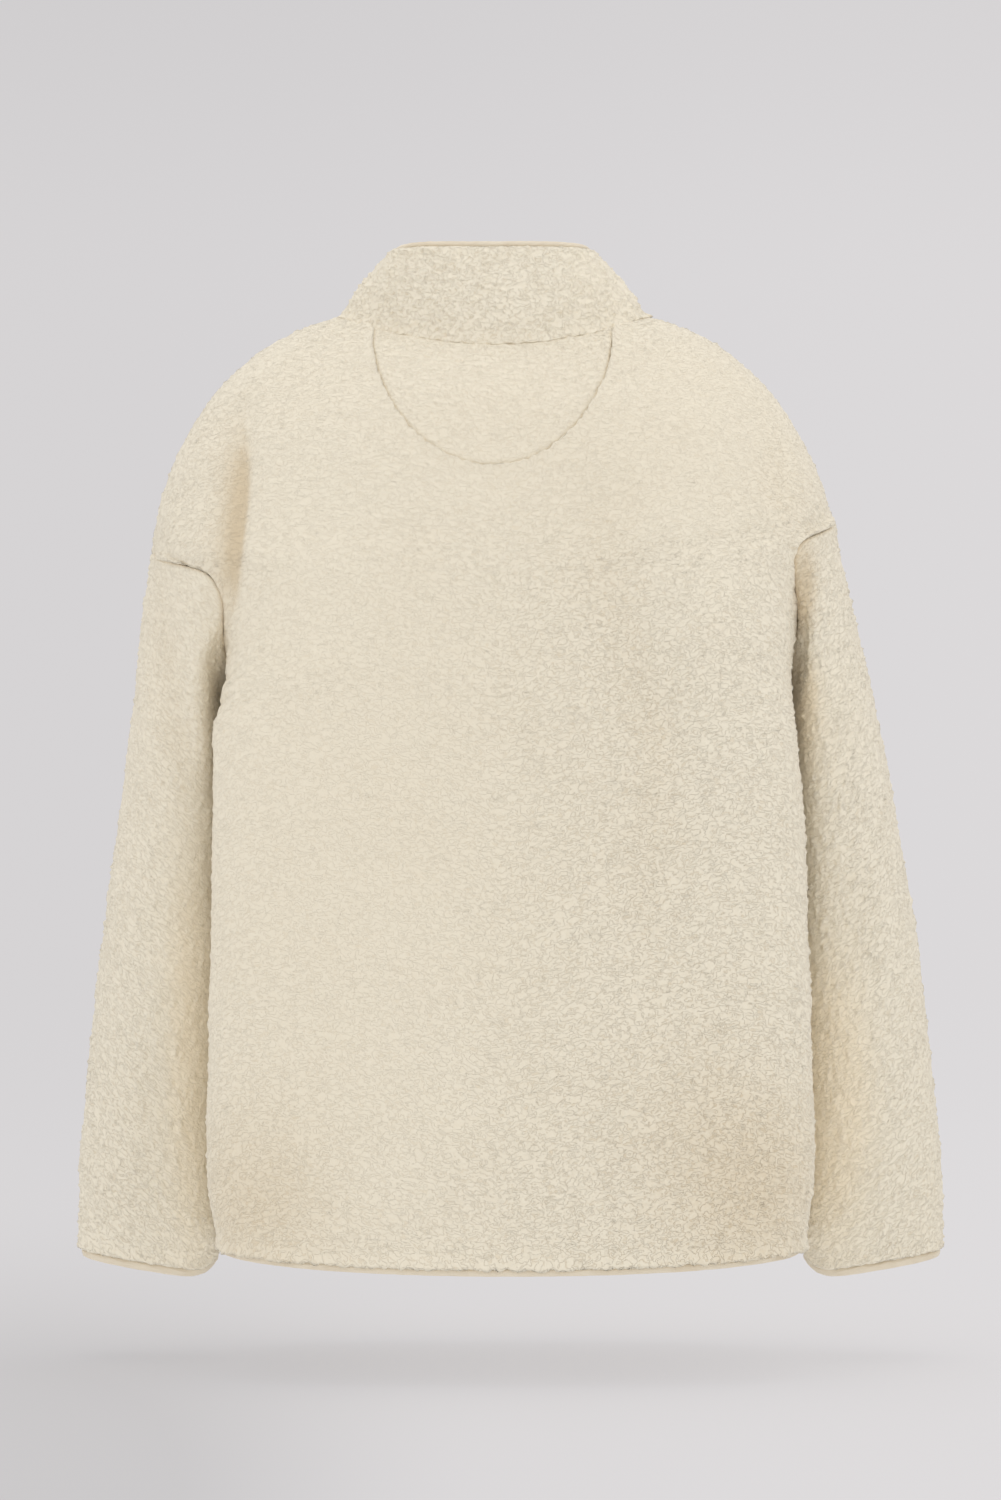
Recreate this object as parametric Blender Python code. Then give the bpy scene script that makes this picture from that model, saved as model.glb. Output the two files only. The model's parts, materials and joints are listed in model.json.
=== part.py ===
"""Sherpa fleece pullover, filled out as if worn, with its front facing -Y.

The origin lies midway between the two high shoulder points. The body is one smooth
surface: every row runs from the centre line out to the shoulder seam, the armhole or
the side seam, and the panels are cut out of it. Sleeves are rings from the armhole to
the cuff, the collar is rings from the neckline up. Metres, +Z up, +X the wearer's left.
"""
from collections import Counter, namedtuple
from functools import lru_cache

import bmesh
import bpy
import numpy as np
from mathutils import Matrix

# Driving sizes
WALL = 0.006                 # backing cloth and pile together
SEAM_GAP = 0.0003            # clear space between two pieces at a seam
BINDING_GAP = 0.0005         # clear space between a cloth edge and its binding
SIDE_Y = -0.008              # depth at which the shoulder and side seams run
DENT_REACH = 0.088           # how far in depth the hanging arm dents the side
ARM_CLEAR = 0.0110           # air between a sleeve and the side it hangs against
CLEAR_FROM = 0.35            # sleeve level from which the whole of it is there
SOFTNESS = 0.0015            # over which a sleeve starts to give way to the side
LEFT = 1
RIGHT = -1

# How much higher the right armhole starts, and how much wider its crease stands
ARMHOLE_LIFT = {LEFT: 0.0, RIGHT: 0.028}
CREASE_SPREAD = {LEFT: -0.009, RIGHT: 0.010}

# Half moon below the back collar
MOON_HALF_WIDTH = 0.0885
MOON_BOTTOM_Z = -0.1155

# Zip
SLIT_HALF_WIDTH = 0.005
TAPE_WIDTH = 0.014
TAPE_THICK = 0.0008
TAPE_CLEAR = 0.0005          # between the cloth's inner side and the tape
TAPE_OVERRUN = 0.3           # share of the first row below the slit that the tapes reach
CHAIN_WIDTH = 0.0056
CHAIN_THICK = 0.0024
CHAIN_STOP = 0.12            # share of the last row that the teeth stop short of the slit
SLIDER_AT = 0.012            # from the collar's top edge down to the slider's middle
SLIDER_WIDTH = 0.0080
SLIDER_LENGTH = 0.0100
SLIDER_THICK = 0.0040
SLIDER_BEVEL = 0.0006
BAIL_WIDTH = 0.0022
BAIL_LENGTH = 0.0072
BAIL_SINK = 0.0005           # how deep the bail's feet stand in the slider
BAIL_RISE = 0.0036
BAIL_BAR = 0.0012
PULL_LENGTH = 0.030
PULL_WIDTH = 0.0075
PULL_THICK = 0.0013
PULL_CORNER = 0.0012
PULL_WINDOW_WIDTH = 0.0038
PULL_WINDOW_LENGTH = 0.0070
PIVOT_RISE = 0.0013          # of the pull's bar above the slider's front

# Grid densities
HALF_COLUMNS = 12
MOON_COLUMNS = 9             # those of the half columns that run round the half moon
MOON_ROWS = 5
SHOULDER_ROWS = 7
ARMHOLE_ROWS = 8
TORSO_ROWS = 12
SLEEVE_ROWS = 15
COLLAR_ROWS = 5

# Level numbers of the rows in the tables below
V_SLEEVE_HEAD = 5
V_UNDERARM = 10
V_HEM = 15

# Outer line of shoulder and sleeve seen from the back: height, half width
OUTLINE = (
    (0.0100, 0.090),
    (0.0015, 0.112),
    (-0.0117, 0.1535),
    (-0.0292, 0.1740),
    (-0.0467, 0.1952),
    (-0.0818, 0.2210),
    (-0.1260, 0.2405),
    (-0.1694, 0.2495),
    (-0.2394, 0.2634),
    (-0.3446, 0.2805),
    (-0.4497, 0.2975),
    (-0.5548, 0.3102),
    (-0.6249, 0.3170),
    (-0.6900, 0.3175),
)

# Sideways lean of the whole garment: height, shift
LEAN = (
    (0.060, 0.0055),
    (-0.060, 0.0053),
    (-0.120, 0.0050),
    (-0.170, 0.0043),
    (-0.270, -0.0018),
    (-0.380, -0.0056),
    (-0.520, -0.0066),
    (-0.700, -0.0078),
)

# Pieces that make one smooth surface between them
SURFACES = (("back", "back_neck", "front"), ("sleeve_left",), ("sleeve_right",), ("collar",))

BodyRow = namedtuple("BodyRow", "edge_z centre_z depth half_width power dent edge_y")

# Half width None follows the outline. Levels 5 to 10 end at the armhole.
BACK_ROWS = (
    BodyRow(0.0015, -0.0235, 0.070, None, 2.00, 0.000, SIDE_Y),
    BodyRow(-0.0117, -0.0390, 0.086, None, 2.10, 0.000, SIDE_Y),
    BodyRow(-0.0467, -0.0640, 0.105, None, 2.25, 0.000, SIDE_Y),
    BodyRow(-0.0818, -0.0960, 0.119, None, 2.35, 0.000, SIDE_Y),
    BodyRow(-0.1260, -0.1340, 0.129, None, 2.45, 0.000, SIDE_Y),
    BodyRow(-0.1694, -0.1710, 0.136, None, 2.60, 0.000, SIDE_Y),
    BodyRow(-0.1820, -0.1870, 0.138, 0.2450, 2.75, 0.000, 0.074),
    BodyRow(-0.2010, -0.2050, 0.139, 0.2260, 3.05, 0.002, 0.086),
    BodyRow(-0.2310, -0.2330, 0.140, 0.2190, 3.40, 0.012, 0.074),
    BodyRow(-0.2640, -0.2650, 0.140, 0.2220, 3.80, 0.030, 0.040),
    BodyRow(-0.2920, -0.2930, 0.140, 0.2270, 4.20, 0.042, SIDE_Y),
    BodyRow(-0.3600, -0.3620, 0.139, 0.2310, 4.60, 0.048, SIDE_Y),
    BodyRow(-0.4400, -0.4440, 0.138, 0.2320, 4.60, 0.042, SIDE_Y),
    BodyRow(-0.5250, -0.5320, 0.139, 0.2330, 4.50, 0.036, SIDE_Y),
    BodyRow(-0.6100, -0.6180, 0.142, 0.2325, 4.30, 0.027, SIDE_Y),
    BodyRow(-0.6670, -0.6775, 0.145, 0.2235, 4.00, 0.021, SIDE_Y),
)

FRONT_ROWS = (
    BodyRow(0.0015, -0.0820, -0.092, None, 2.00, 0.000, SIDE_Y),
    BodyRow(-0.0117, -0.0970, -0.101, None, 2.10, 0.000, SIDE_Y),
    BodyRow(-0.0467, -0.1160, -0.110, None, 2.25, 0.000, SIDE_Y),
    BodyRow(-0.0818, -0.1370, -0.118, None, 2.35, 0.000, SIDE_Y),
    BodyRow(-0.1260, -0.1600, -0.124, None, 2.45, 0.000, SIDE_Y),
    BodyRow(-0.1694, -0.1820, -0.129, None, 2.55, 0.000, SIDE_Y),
    BodyRow(-0.1820, -0.1950, -0.131, 0.2450, 2.65, 0.000, -0.080),
    BodyRow(-0.2060, -0.2160, -0.132, 0.2260, 2.85, 0.002, -0.090),
    BodyRow(-0.2360, -0.2410, -0.133, 0.2190, 3.15, 0.012, -0.076),
    BodyRow(-0.2640, -0.2670, -0.133, 0.2220, 3.50, 0.030, -0.044),
    BodyRow(-0.2920, -0.2940, -0.133, 0.2270, 3.90, 0.042, SIDE_Y),
    BodyRow(-0.3600, -0.3620, -0.131, 0.2310, 4.10, 0.048, SIDE_Y),
    BodyRow(-0.4400, -0.4420, -0.129, 0.2320, 4.00, 0.042, SIDE_Y),
    BodyRow(-0.5250, -0.5290, -0.130, 0.2330, 3.90, 0.036, SIDE_Y),
    BodyRow(-0.6100, -0.6150, -0.133, 0.2325, 3.70, 0.027, SIDE_Y),
    BodyRow(-0.6670, -0.6730, -0.136, 0.2235, 3.50, 0.021, SIDE_Y),
)

SleeveRow = namedtuple("SleeveRow", "outer_z inner_z inner_x centre_y half_depth power")

SLEEVE_TABLE = (
    SleeveRow(-0.1694, -0.2920, 0.1840, -0.009, 0.097, 2.3),
    SleeveRow(-0.2050, -0.3160, 0.1970, -0.010, 0.096, 2.3),
    SleeveRow(-0.2500, -0.3450, 0.2005, -0.012, 0.091, 2.3),
    SleeveRow(-0.3200, -0.3920, 0.2020, -0.014, 0.083, 2.3),
    SleeveRow(-0.4000, -0.4520, 0.2030, -0.018, 0.074, 2.3),
    SleeveRow(-0.4800, -0.5180, 0.2050, -0.023, 0.065, 2.3),
    SleeveRow(-0.5600, -0.5900, 0.2080, -0.028, 0.055, 2.3),
    SleeveRow(-0.6300, -0.6510, 0.2110, -0.031, 0.046, 2.3),
    SleeveRow(-0.6795, -0.6965, 0.2130, -0.032, 0.040, 2.3),
)

Fold = namedtuple("Fold", "place x1 z1 x2 z2 width depth")

# Soft troughs (depth below 0) and ridges, each along one line on the back or front
FOLDS = (
    Fold("back", 0.186, -0.080, 0.190, -0.190, 0.014, -0.010),
    Fold("back", -0.190, -0.070, -0.196, -0.160, 0.015, -0.007),
    Fold("back", -0.067, -0.150, -0.108, -0.290, 0.030, -0.004),
    Fold("back", -0.110, -0.300, -0.099, -0.450, 0.032, -0.004),
    Fold("back", -0.165, -0.210, -0.176, -0.330, 0.034, 0.005),
    Fold("front", 0.182, -0.090, 0.184, -0.180, 0.026, -0.004),
    Fold("front", -0.184, -0.085, -0.188, -0.175, 0.026, -0.004),
    Fold("sleeve_back", 0.250, -0.200, 0.232, -0.310, 0.016, -0.005),
    Fold("sleeve_back", 0.231, -0.320, 0.226, -0.430, 0.018, -0.004),
    Fold("sleeve_back", -0.250, -0.350, -0.246, -0.460, 0.018, -0.004),
)

# Stand collar: top edge of the cloth, under its binding
COLLAR_TOP_Z = 0.0475
COLLAR_TOP_HALF_WIDTH = 0.0745
COLLAR_TOP_BACK_Y = 0.050
COLLAR_TOP_FRONT_Y = -0.078
COLLAR_TOP_MIDDLE_Y = -0.012
COLLAR_FRONT_DROP = 0.058
COLLAR_BULGE = 0.004

# How far the cuff's innermost edge is drawn up
CUFF_RISE = 0.014

BINDING_COLLAR = 0.0059
BINDING_CUFF = 0.0077
BINDING_HEM = 0.0070

CREAM = (0.80, 0.72, 0.58)
BINDING_CREAM = (0.78, 0.68, 0.56)
TAPE_CREAM = (0.72, 0.64, 0.52)
NICKEL = (0.62, 0.60, 0.57)


def spline(table, at):
    """Value of a smooth curve through (place, value) pairs, where place falls or rises."""
    points = np.array(table, dtype=float)
    if points[0, 0] > points[-1, 0]:
        points = points[::-1]
    place, value = points[:, 0], points[:, 1]
    slope = np.gradient(value, place)
    at = min(max(at, place[0]), place[-1])
    k = int(np.clip(np.searchsorted(place, at) - 1, 0, len(place) - 2))
    step = place[k + 1] - place[k]
    t = (at - place[k]) / step
    return ((1 + 2 * t) * (1 - t) ** 2 * value[k] + t * (1 - t) ** 2 * step * slope[k]
            + t * t * (3 - 2 * t) * value[k + 1] + t * t * (t - 1) * step * slope[k + 1])


def table_at(rows, v):
    """One row of a table at a fractional level."""
    columns = zip(*rows)
    return type(rows[0])(*(spline(tuple(enumerate(column)), v) for column in columns))


def outline_x(z):
    """Half width of the shoulder and sleeve outline at a height."""
    return spline(OUTLINE, z)


def filled(rows):
    """The rows with a half width read from the outline where none is given."""
    return tuple(row._replace(half_width=outline_x(row.edge_z)) if row.half_width is None
                 else row for row in rows)


BODY = {"back": filled(BACK_ROWS), "front": filled(FRONT_ROWS)}


def armhole_share(v):
    """1 at the top of the armhole, fading to 0 at the neck and at the underarm."""
    if v <= V_SLEEVE_HEAD:
        return (v / V_SLEEVE_HEAD) ** 2
    if v < V_UNDERARM:
        return (V_UNDERARM - v) / (V_UNDERARM - V_SLEEVE_HEAD)
    return 0.0


def crease_share(v):
    """1 where the seam meets the crease, fading to 0 above and below it."""
    return float(np.exp(-((v - 7.5) / 1.6) ** 2))


def body_row(panel, v, side):
    """Dense points of one half row of the body, centre line first."""
    row = table_at(BODY[panel], v)
    edge_z = row.edge_z + ARMHOLE_LIFT[side] * armhole_share(v)
    half_width = row.half_width + CREASE_SPREAD[side] * crease_share(v)
    if v <= V_SLEEVE_HEAD:
        half_width = outline_x(edge_z)
    reach = row.depth - SIDE_Y
    end = np.arccos(np.clip((row.edge_y - SIDE_Y) / reach, 0, 1) ** (row.power / 2))
    angle = np.linspace(0, 1, 90) ** 1.6 * end
    x = half_width * np.sin(angle) ** (2 / row.power)
    y = SIDE_Y + reach * np.clip(np.cos(angle), 0, 1) ** (2 / row.power)
    rise = (x / x[-1]) ** 2
    z = row.centre_z + (edge_z - row.centre_z) * rise
    x = x - row.dent * np.exp(-np.abs((y - SIDE_Y) / DENT_REACH) ** 3)
    x[0] = 0.0
    return np.stack([side * x, y, z], axis=1)


def along(points, shares):
    """Points at the given shares of a polyline's length."""
    steps = np.linalg.norm(np.diff(points, axis=0), axis=1)
    length = np.concatenate([[0], np.cumsum(steps)])
    at = np.asarray(shares) * length[-1]
    return np.stack([np.interp(at, length, points[:, k]) for k in range(3)], axis=1)


@lru_cache(maxsize=None)
def body_line(panel, v, side):
    """The dense half row, kept so that each is worked out once."""
    return body_row(panel, v, side)


def fold_shift(place, x, z):
    """How far the folds of one place push the cloth out at a point."""
    shift = 0.0
    for fold in FOLDS:
        if fold.place == place:
            start = np.array([fold.x1, fold.z1])
            run = np.array([fold.x2, fold.z2]) - start
            share = np.clip(np.dot(np.array([x, z]) - start, run) / np.dot(run, run), 0, 1)
            distance = np.linalg.norm(start + share * run - np.array([x, z]))
            shift += fold.depth * np.exp(-(distance / fold.width) ** 2)
    return shift


def body_point(panel, u, v):
    """Point of the body: u runs from -1, the right seam, over 0 to 1, the left seam."""
    side = LEFT if u >= 0 else RIGHT
    point = along(body_line(panel, round(float(v), 6), side), [abs(u)])[0]
    outward = 1 if panel == "back" else -1
    clear_of_seam = 1 - abs(u) ** 10
    point[1] += outward * clear_of_seam * fold_shift(panel, point[0], point[2])
    return point


def find_on_back(x, z, u, v):
    """Level coordinates of the back's point at x and z, or at x on level v alone."""
    step = 1e-4
    for _ in range(12):
        here = body_point("back", u, v)
        by_u = (body_point("back", u + step, v) - here) / step
        if z is None:
            u += (x - here[0]) / by_u[0]
            continue
        by_v = (body_point("back", u, v + step) - here) / step
        slopes = np.array([[by_u[0], by_v[0]], [by_u[2], by_v[2]]])
        change = np.linalg.solve(slopes, np.array([x - here[0], z - here[2]]))
        u = float(np.clip(u + change[0], 0, 1))
        v = float(np.clip(v + change[1], 0, V_HEM))
    return float(u), float(v)


def moon_line():
    """Level coordinates (u, v) round the half moon's left half, from its bottom up."""
    neck_u = find_on_back(MOON_HALF_WIDTH, None, 0.6, 0.0)[0]
    top_z = body_point("back", neck_u, 0.0)[2]
    found = []
    guess = (0.02, 4.0)
    for angle in np.linspace(0, np.pi / 2, MOON_COLUMNS + 1)[:-1]:
        x = MOON_HALF_WIDTH * np.sin(angle)
        z = MOON_BOTTOM_Z + (top_z - MOON_BOTTOM_Z) * (1 - np.cos(angle))
        guess = find_on_back(x, z, *guess)
        found.append(guess)
    found.append((neck_u, 0.0))
    return found


def grid_faces(rows, columns, closed=False):
    """Quads between neighbouring rows and columns of a grid."""
    last = columns if closed else columns - 1
    return [(r * columns + c, r * columns + (c + 1) % columns,
             (r + 1) * columns + (c + 1) % columns, (r + 1) * columns + c)
            for r in range(rows - 1) for c in range(last)]


def lower_levels():
    """Levels of the rows below the top of the armhole, down to the hem."""
    armhole = np.linspace(V_SLEEVE_HEAD, V_UNDERARM, ARMHOLE_ROWS + 1)[1:]
    torso = np.linspace(V_UNDERARM, V_HEM, TORSO_ROWS + 1)[1:]
    return list(armhole) + list(torso)


def back_and_moon():
    """Outer points and faces of the back, and of the half moon set into it."""
    moon = moon_line()
    neck_u = moon[-1][0]
    beside = np.linspace(neck_u, 1, HALF_COLUMNS - MOON_COLUMNS + 1)[1:]
    half = moon + [(u, 0.0) for u in beside]
    top = [(-u, v) for u, v in half[:0:-1]] + half
    across = np.linspace(-1, 1, 2 * HALF_COLUMNS + 1)
    points = []
    for share in np.linspace(0, 1, SHOULDER_ROWS + 1):
        for (u, v), end_u in zip(top, across):
            points.append(body_point("back", u + (end_u - u) * share,
                                     v + (V_SLEEVE_HEAD - v) * share))
    for v in lower_levels():
        points += [body_point("back", u, v) for u in across]
    columns = len(across)
    back = np.array(points), grid_faces(len(points) // columns, columns)

    bottom = [(-u, v) for u, v in moon[:0:-1]] + moon
    neck = np.linspace(-neck_u, neck_u, len(bottom))
    points = []
    for share in np.linspace(0, 1, MOON_ROWS + 1):
        for (u, v), neck_at in zip(bottom, neck):
            points.append(body_point("back", neck_at + (u - neck_at) * share, v * share))
    return back, (np.array(points), grid_faces(MOON_ROWS + 1, len(bottom)))


def front_panel():
    """Outer points and faces of the front, with the zip's slit down to the underarms."""
    shares = np.linspace(1, 0, HALF_COLUMNS + 1)
    slit_levels = list(np.linspace(0, V_SLEEVE_HEAD, SHOULDER_ROWS + 1))
    slit_levels += [v for v in lower_levels() if v <= V_UNDERARM]
    points = []
    for side in (LEFT, RIGHT):
        for v in slit_levels:
            row = [body_point("front", side * max(u, 1e-9), v) for u in shares]
            row[-1][0] = side * SLIT_HALF_WIDTH
            points += row
    columns = len(shares)
    half_count = len(slit_levels) * columns
    faces = grid_faces(len(slit_levels), columns)
    faces += [tuple(half_count + k for k in face[::-1]) for face in faces]

    left_row = list(range(half_count - columns, half_count))
    right_row = list(range(2 * half_count - columns, 2 * half_count))
    above = left_row + right_row[::-1]
    lower = [v for v in lower_levels() if v > V_UNDERARM]
    across = np.linspace(1, -1, 2 * HALF_COLUMNS + 1)
    first = len(points)
    for v in lower:
        points += [body_point("front", u, v) for u in across]
    for k in range(HALF_COLUMNS):
        far = first + HALF_COLUMNS + k
        beyond = columns + k
        faces.append((above[k], above[k + 1], first + k + 1, first + k))
        faces.append((above[beyond], above[beyond + 1], far + 1, far))
    faces.append((above[columns - 1], above[columns], first + HALF_COLUMNS))
    faces += [tuple(first + k for k in face) for face in grid_faces(len(lower), len(across))]
    return np.array(points), faces


def armhole_loop(side):
    """Closed loop of the armhole: top, down the back, underarm, up the front."""
    levels = np.linspace(V_SLEEVE_HEAD, V_UNDERARM, ARMHOLE_ROWS + 1)
    back = [body_point("back", side, v) for v in levels]
    front = [body_point("front", side, v) for v in levels]
    return np.array(back + front[-2:0:-1])


def power_of(value, exponent):
    """Signed power, for superellipses."""
    return np.sign(value) * np.abs(value) ** exponent


def sleeve_ring(side, level):
    """Oval ring of a sleeve at a fractional level of its table."""
    row = table_at(SLEEVE_TABLE, level)
    outer_z = row.outer_z + ARMHOLE_LIFT[side] * max(0.0, 1 - level / 3) ** 1.5
    outer = np.array([outline_x(outer_z), row.centre_y, outer_z])
    inner = np.array([row.inner_x, row.centre_y, row.inner_z])
    angle = np.linspace(0, 2 * np.pi, 2 * ARMHOLE_ROWS, endpoint=False)[:, None]
    across = power_of(np.cos(angle), 2 / row.power)
    deep = power_of(np.sin(angle), 2 / row.power)
    ring = (outer + inner) / 2 + across * (outer - inner) / 2
    ring = ring + deep * np.array([0, row.half_depth, 0])
    innermost = np.clip((-np.cos(angle[:, 0]) - 0.6) / 0.4, 0, 1) ** 2
    ring[:, 2] += CUFF_RISE * innermost * max(0.0, level - 7)
    ring[:, 0] *= side
    return ring


@lru_cache(maxsize=None)
def side_lines(panel, side):
    """Dense rows of the body from the hem up to the sleeve head."""
    levels = np.linspace(V_HEM, V_SLEEVE_HEAD, 81)
    return [body_line(panel, round(float(v), 6), side) for v in levels]


def held_off(ring, side, level):
    """The ring moved outward where the body's side would press into it."""
    clear = ARM_CLEAR * min(1.0, level / CLEAR_FROM)
    for point in ring:
        panel = "back" if point[1] > SIDE_Y else "front"
        at = abs(point[1] - SIDE_Y)
        heights, widths = [], []
        for line in side_lines(panel, side):
            depth = np.abs(line[::-1, 1] - SIDE_Y)
            if depth[0] > at:
                break
            heights.append(np.interp(at, depth, line[::-1, 2]))
            widths.append(np.interp(at, depth, np.abs(line[::-1, 0])))
        if point[2] <= heights[-1]:
            lack = np.interp(point[2], heights, widths) + clear - abs(point[0])
            point[0] += side * SOFTNESS * np.log1p(np.exp(min(50.0, lack / SOFTNESS)))
    return ring


def sleeve(side):
    """Outer points and faces of one sleeve, from the armhole down to the cuff."""
    loop = armhole_loop(side)
    first_oval = sleeve_ring(side, 0)
    last = len(SLEEVE_TABLE) - 1
    rows = []
    for share in np.linspace(0, 1, SLEEVE_ROWS + 1):
        level = last * share ** 1.15
        fade = max(0.0, 1 - level / 2.5) ** 2
        ring = sleeve_ring(side, level) + (loop - first_oval) * fade
        if share > 0:
            ring = held_off(ring, side, level)
        middle_y = ring[:, 1].mean()
        for point in ring:
            if share > 0 and point[1] > middle_y:
                point[1] += fold_shift("sleeve_back", point[0], point[2])
        rows.append(ring)
    faces = grid_faces(len(rows), 2 * ARMHOLE_ROWS, closed=True)
    if side == LEFT:
        faces = [face[::-1] for face in faces]
    return np.concatenate(rows), faces


def collar_top_quarter(back):
    """Dense top edge of the collar's left half: from the side point to the centre."""
    angle = np.linspace(np.pi / 2, 0, 60)
    power = 3.6 if back else 2.4
    end_y = COLLAR_TOP_BACK_Y if back else COLLAR_TOP_FRONT_Y
    x = COLLAR_TOP_HALF_WIDTH * np.sin(angle) ** (2 / power)
    share = np.clip(np.cos(angle), 0, 1) ** (2 / power)
    y = COLLAR_TOP_MIDDLE_Y + (end_y - COLLAR_TOP_MIDDLE_Y) * share
    z = np.full_like(y, COLLAR_TOP_Z)
    if not back:
        z = z - COLLAR_FRONT_DROP * share ** 1.3
    return np.stack([x, y, z], axis=1)


def length_shares(points):
    """Share of the whole length at each point of a line."""
    steps = np.linalg.norm(np.diff(points, axis=0), axis=1)
    length = np.concatenate([[0], np.cumsum(steps)])
    return length / length[-1]


def collar(front_left, back, front_right):
    """Outer points and faces of the stand collar on the three parts of its neckline."""
    half = len(back) // 2
    quarters = (
        (front_left, False, LEFT, True),
        (back[:half + 1], True, LEFT, False),
        (back[half:][::-1], True, RIGHT, True),
        (front_right, False, RIGHT, False),
    )
    base, top = [], []
    for line, is_back, side, backwards in quarters:
        edge = along(collar_top_quarter(is_back), length_shares(line)) * [side, 1, 1]
        if not is_back:
            edge[-1][0] = side * SLIT_HALF_WIDTH
        if backwards:
            line, edge = line[::-1], edge[::-1]
        skip = 1 if base else 0
        base += list(line)[skip:]
        top += list(edge)[skip:]
    base, top = np.array(base), np.array(top)
    outward = (base - [0, COLLAR_TOP_MIDDLE_Y, 0]) * [1, 1, 0]
    outward[0] = outward[-1] = [0, -1, 0]
    outward /= np.linalg.norm(outward, axis=1)[:, None]
    rows = []
    for share in np.linspace(0, 1, COLLAR_ROWS + 1):
        bulge = COLLAR_BULGE * np.sin(np.pi * share)
        rows.append(base + (top - base) * share + outward * bulge)
    return np.concatenate(rows), grid_faces(len(rows), len(base))


def key(point):
    """A point rounded, so that points of neighbouring pieces are found together."""
    return tuple(np.round(point, 7) + 0.0)


def merged(points, faces):
    """The piece with points that coincide made one."""
    index, kept, turn = {}, [], []
    for point in points:
        name = key(point)
        if name not in index:
            index[name] = len(kept)
            kept.append(point)
        turn.append(index[name])
    clean = []
    for face in faces:
        corners = list(dict.fromkeys(turn[k] for k in face))
        if len(corners) > 2:
            clean.append(tuple(corners))
    return np.array(kept), clean


def surface_normals(pieces):
    """Outward unit normal at each point of a smooth surface made of several pieces."""
    total = {}
    for points, faces in pieces:
        for face in faces:
            for k, corner in enumerate(face):
                ahead = points[face[(k + 1) % len(face)]] - points[corner]
                behind = points[face[k - 1]] - points[corner]
                normal = np.cross(ahead, behind)
                size = np.linalg.norm(normal)
                if size > 1e-12:
                    name = key(points[corner])
                    turn = np.arctan2(size, np.dot(ahead, behind))
                    total[name] = total.get(name, 0) + normal / size * turn
    return {name: value / np.linalg.norm(value) for name, value in total.items()}


def seam_normals(pieces):
    """Outward normal at each point, halfway between those of the surfaces that meet."""
    total = {}
    for surface in SURFACES:
        found = surface_normals([pieces[name] for name in surface])
        for name, normal in found.items():
            total[name] = total.get(name, 0) + normal
    return {name: value / np.linalg.norm(value) for name, value in total.items()}


def rim_edges(faces):
    """Edges that only one face has, in that face's direction."""
    count = Counter(frozenset((face[k - 1], face[k])) for face in faces
                    for k in range(len(face)))
    return [(face[k - 1], face[k]) for face in faces for k in range(len(face))
            if count[frozenset((face[k - 1], face[k]))] == 1]


def drawn_in(points, faces, normals):
    """Shift of the rim's points that leaves half a seam gap all along the piece.

    The shift is square to the plane through the seam and its shared normal, so it also
    parts two pieces that meet in a fold.
    """
    rim = set(rim_edges(faces))
    aside = {}
    for face in faces:
        corners = points[list(face)]
        flat = np.cross(corners[1] - corners[0], corners[-1] - corners[0])
        flat /= np.linalg.norm(flat)
        for k in range(len(face)):
            a, b = face[k - 1], face[k]
            if (a, b) in rim:
                run = points[b] - points[a]
                inward = np.cross(flat, run / np.linalg.norm(run))
                way = np.cross(normals[key(points[a])] + normals[key(points[b])], run)
                way *= np.sign(np.dot(way, inward - flat / 2)) / np.linalg.norm(way)
                aside.setdefault(a, []).append(way)
                aside.setdefault(b, []).append(way)
    shift = np.zeros_like(points)
    for corner, ways in aside.items():
        spread = max(0.4, 1 + float(np.dot(ways[0], ways[-1])))
        shift[corner] = sum(ways) / len(ways) * 2 / spread * SEAM_GAP / 2
    return shift


def lean(points):
    """The points moved sideways by the garment's lean."""
    moved = np.array(points)
    moved[:, 0] += [spline(LEAN, z) for z in moved[:, 2]]
    return moved


def material(name, colour, roughness, metallic=0.0):
    """A plain Principled material."""
    made = bpy.data.materials.new(name)
    made.use_nodes = True
    shader = made.node_tree.nodes["Principled BSDF"]
    shader.inputs["Base Color"].default_value = (*colour, 1)
    shader.inputs["Roughness"].default_value = roughness
    shader.inputs["Metallic"].default_value = metallic
    made.diffuse_color = (*colour, 1)
    return made


def link(name, mesh, finish):
    """An object for a finished mesh, shaded smooth up to its sharp edges."""
    mesh.materials.append(finish)
    mesh.shade_smooth()
    mesh.set_sharp_from_angle(angle=np.radians(50))
    thing = bpy.data.objects.new(name, mesh)
    bpy.context.scene.collection.objects.link(thing)
    return thing


def add_object(name, points, faces, finish):
    """A mesh object from points and faces, with its faces turned out."""
    bm = bmesh.new()
    corners = [bm.verts.new(point) for point in points]
    for face in faces:
        bm.faces.new([corners[k] for k in face])
    bmesh.ops.recalc_face_normals(bm, faces=bm.faces)
    mesh = bpy.data.meshes.new(name)
    bm.to_mesh(mesh)
    bm.free()
    return link(name, mesh, finish)


def add_wall(name, outer, inner, faces, seams, finish):
    """A closed wall between an outer and an inner surface with the same faces.

    Neighbours split their facing edges alike, by the order of the seam's own points.
    """
    count = len(outer)
    skins = list(faces) + [tuple(count + k for k in face[::-1]) for face in faces]
    for a, b in rim_edges(faces):
        if key(seams[a]) < key(seams[b]):
            skins += [(b, a, count + b), (a, count + a, count + b)]
        else:
            skins += [(b, a, count + a), (b, count + a, count + b)]
    return add_object(name, lean(np.concatenate([outer, inner])), skins, finish)


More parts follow.
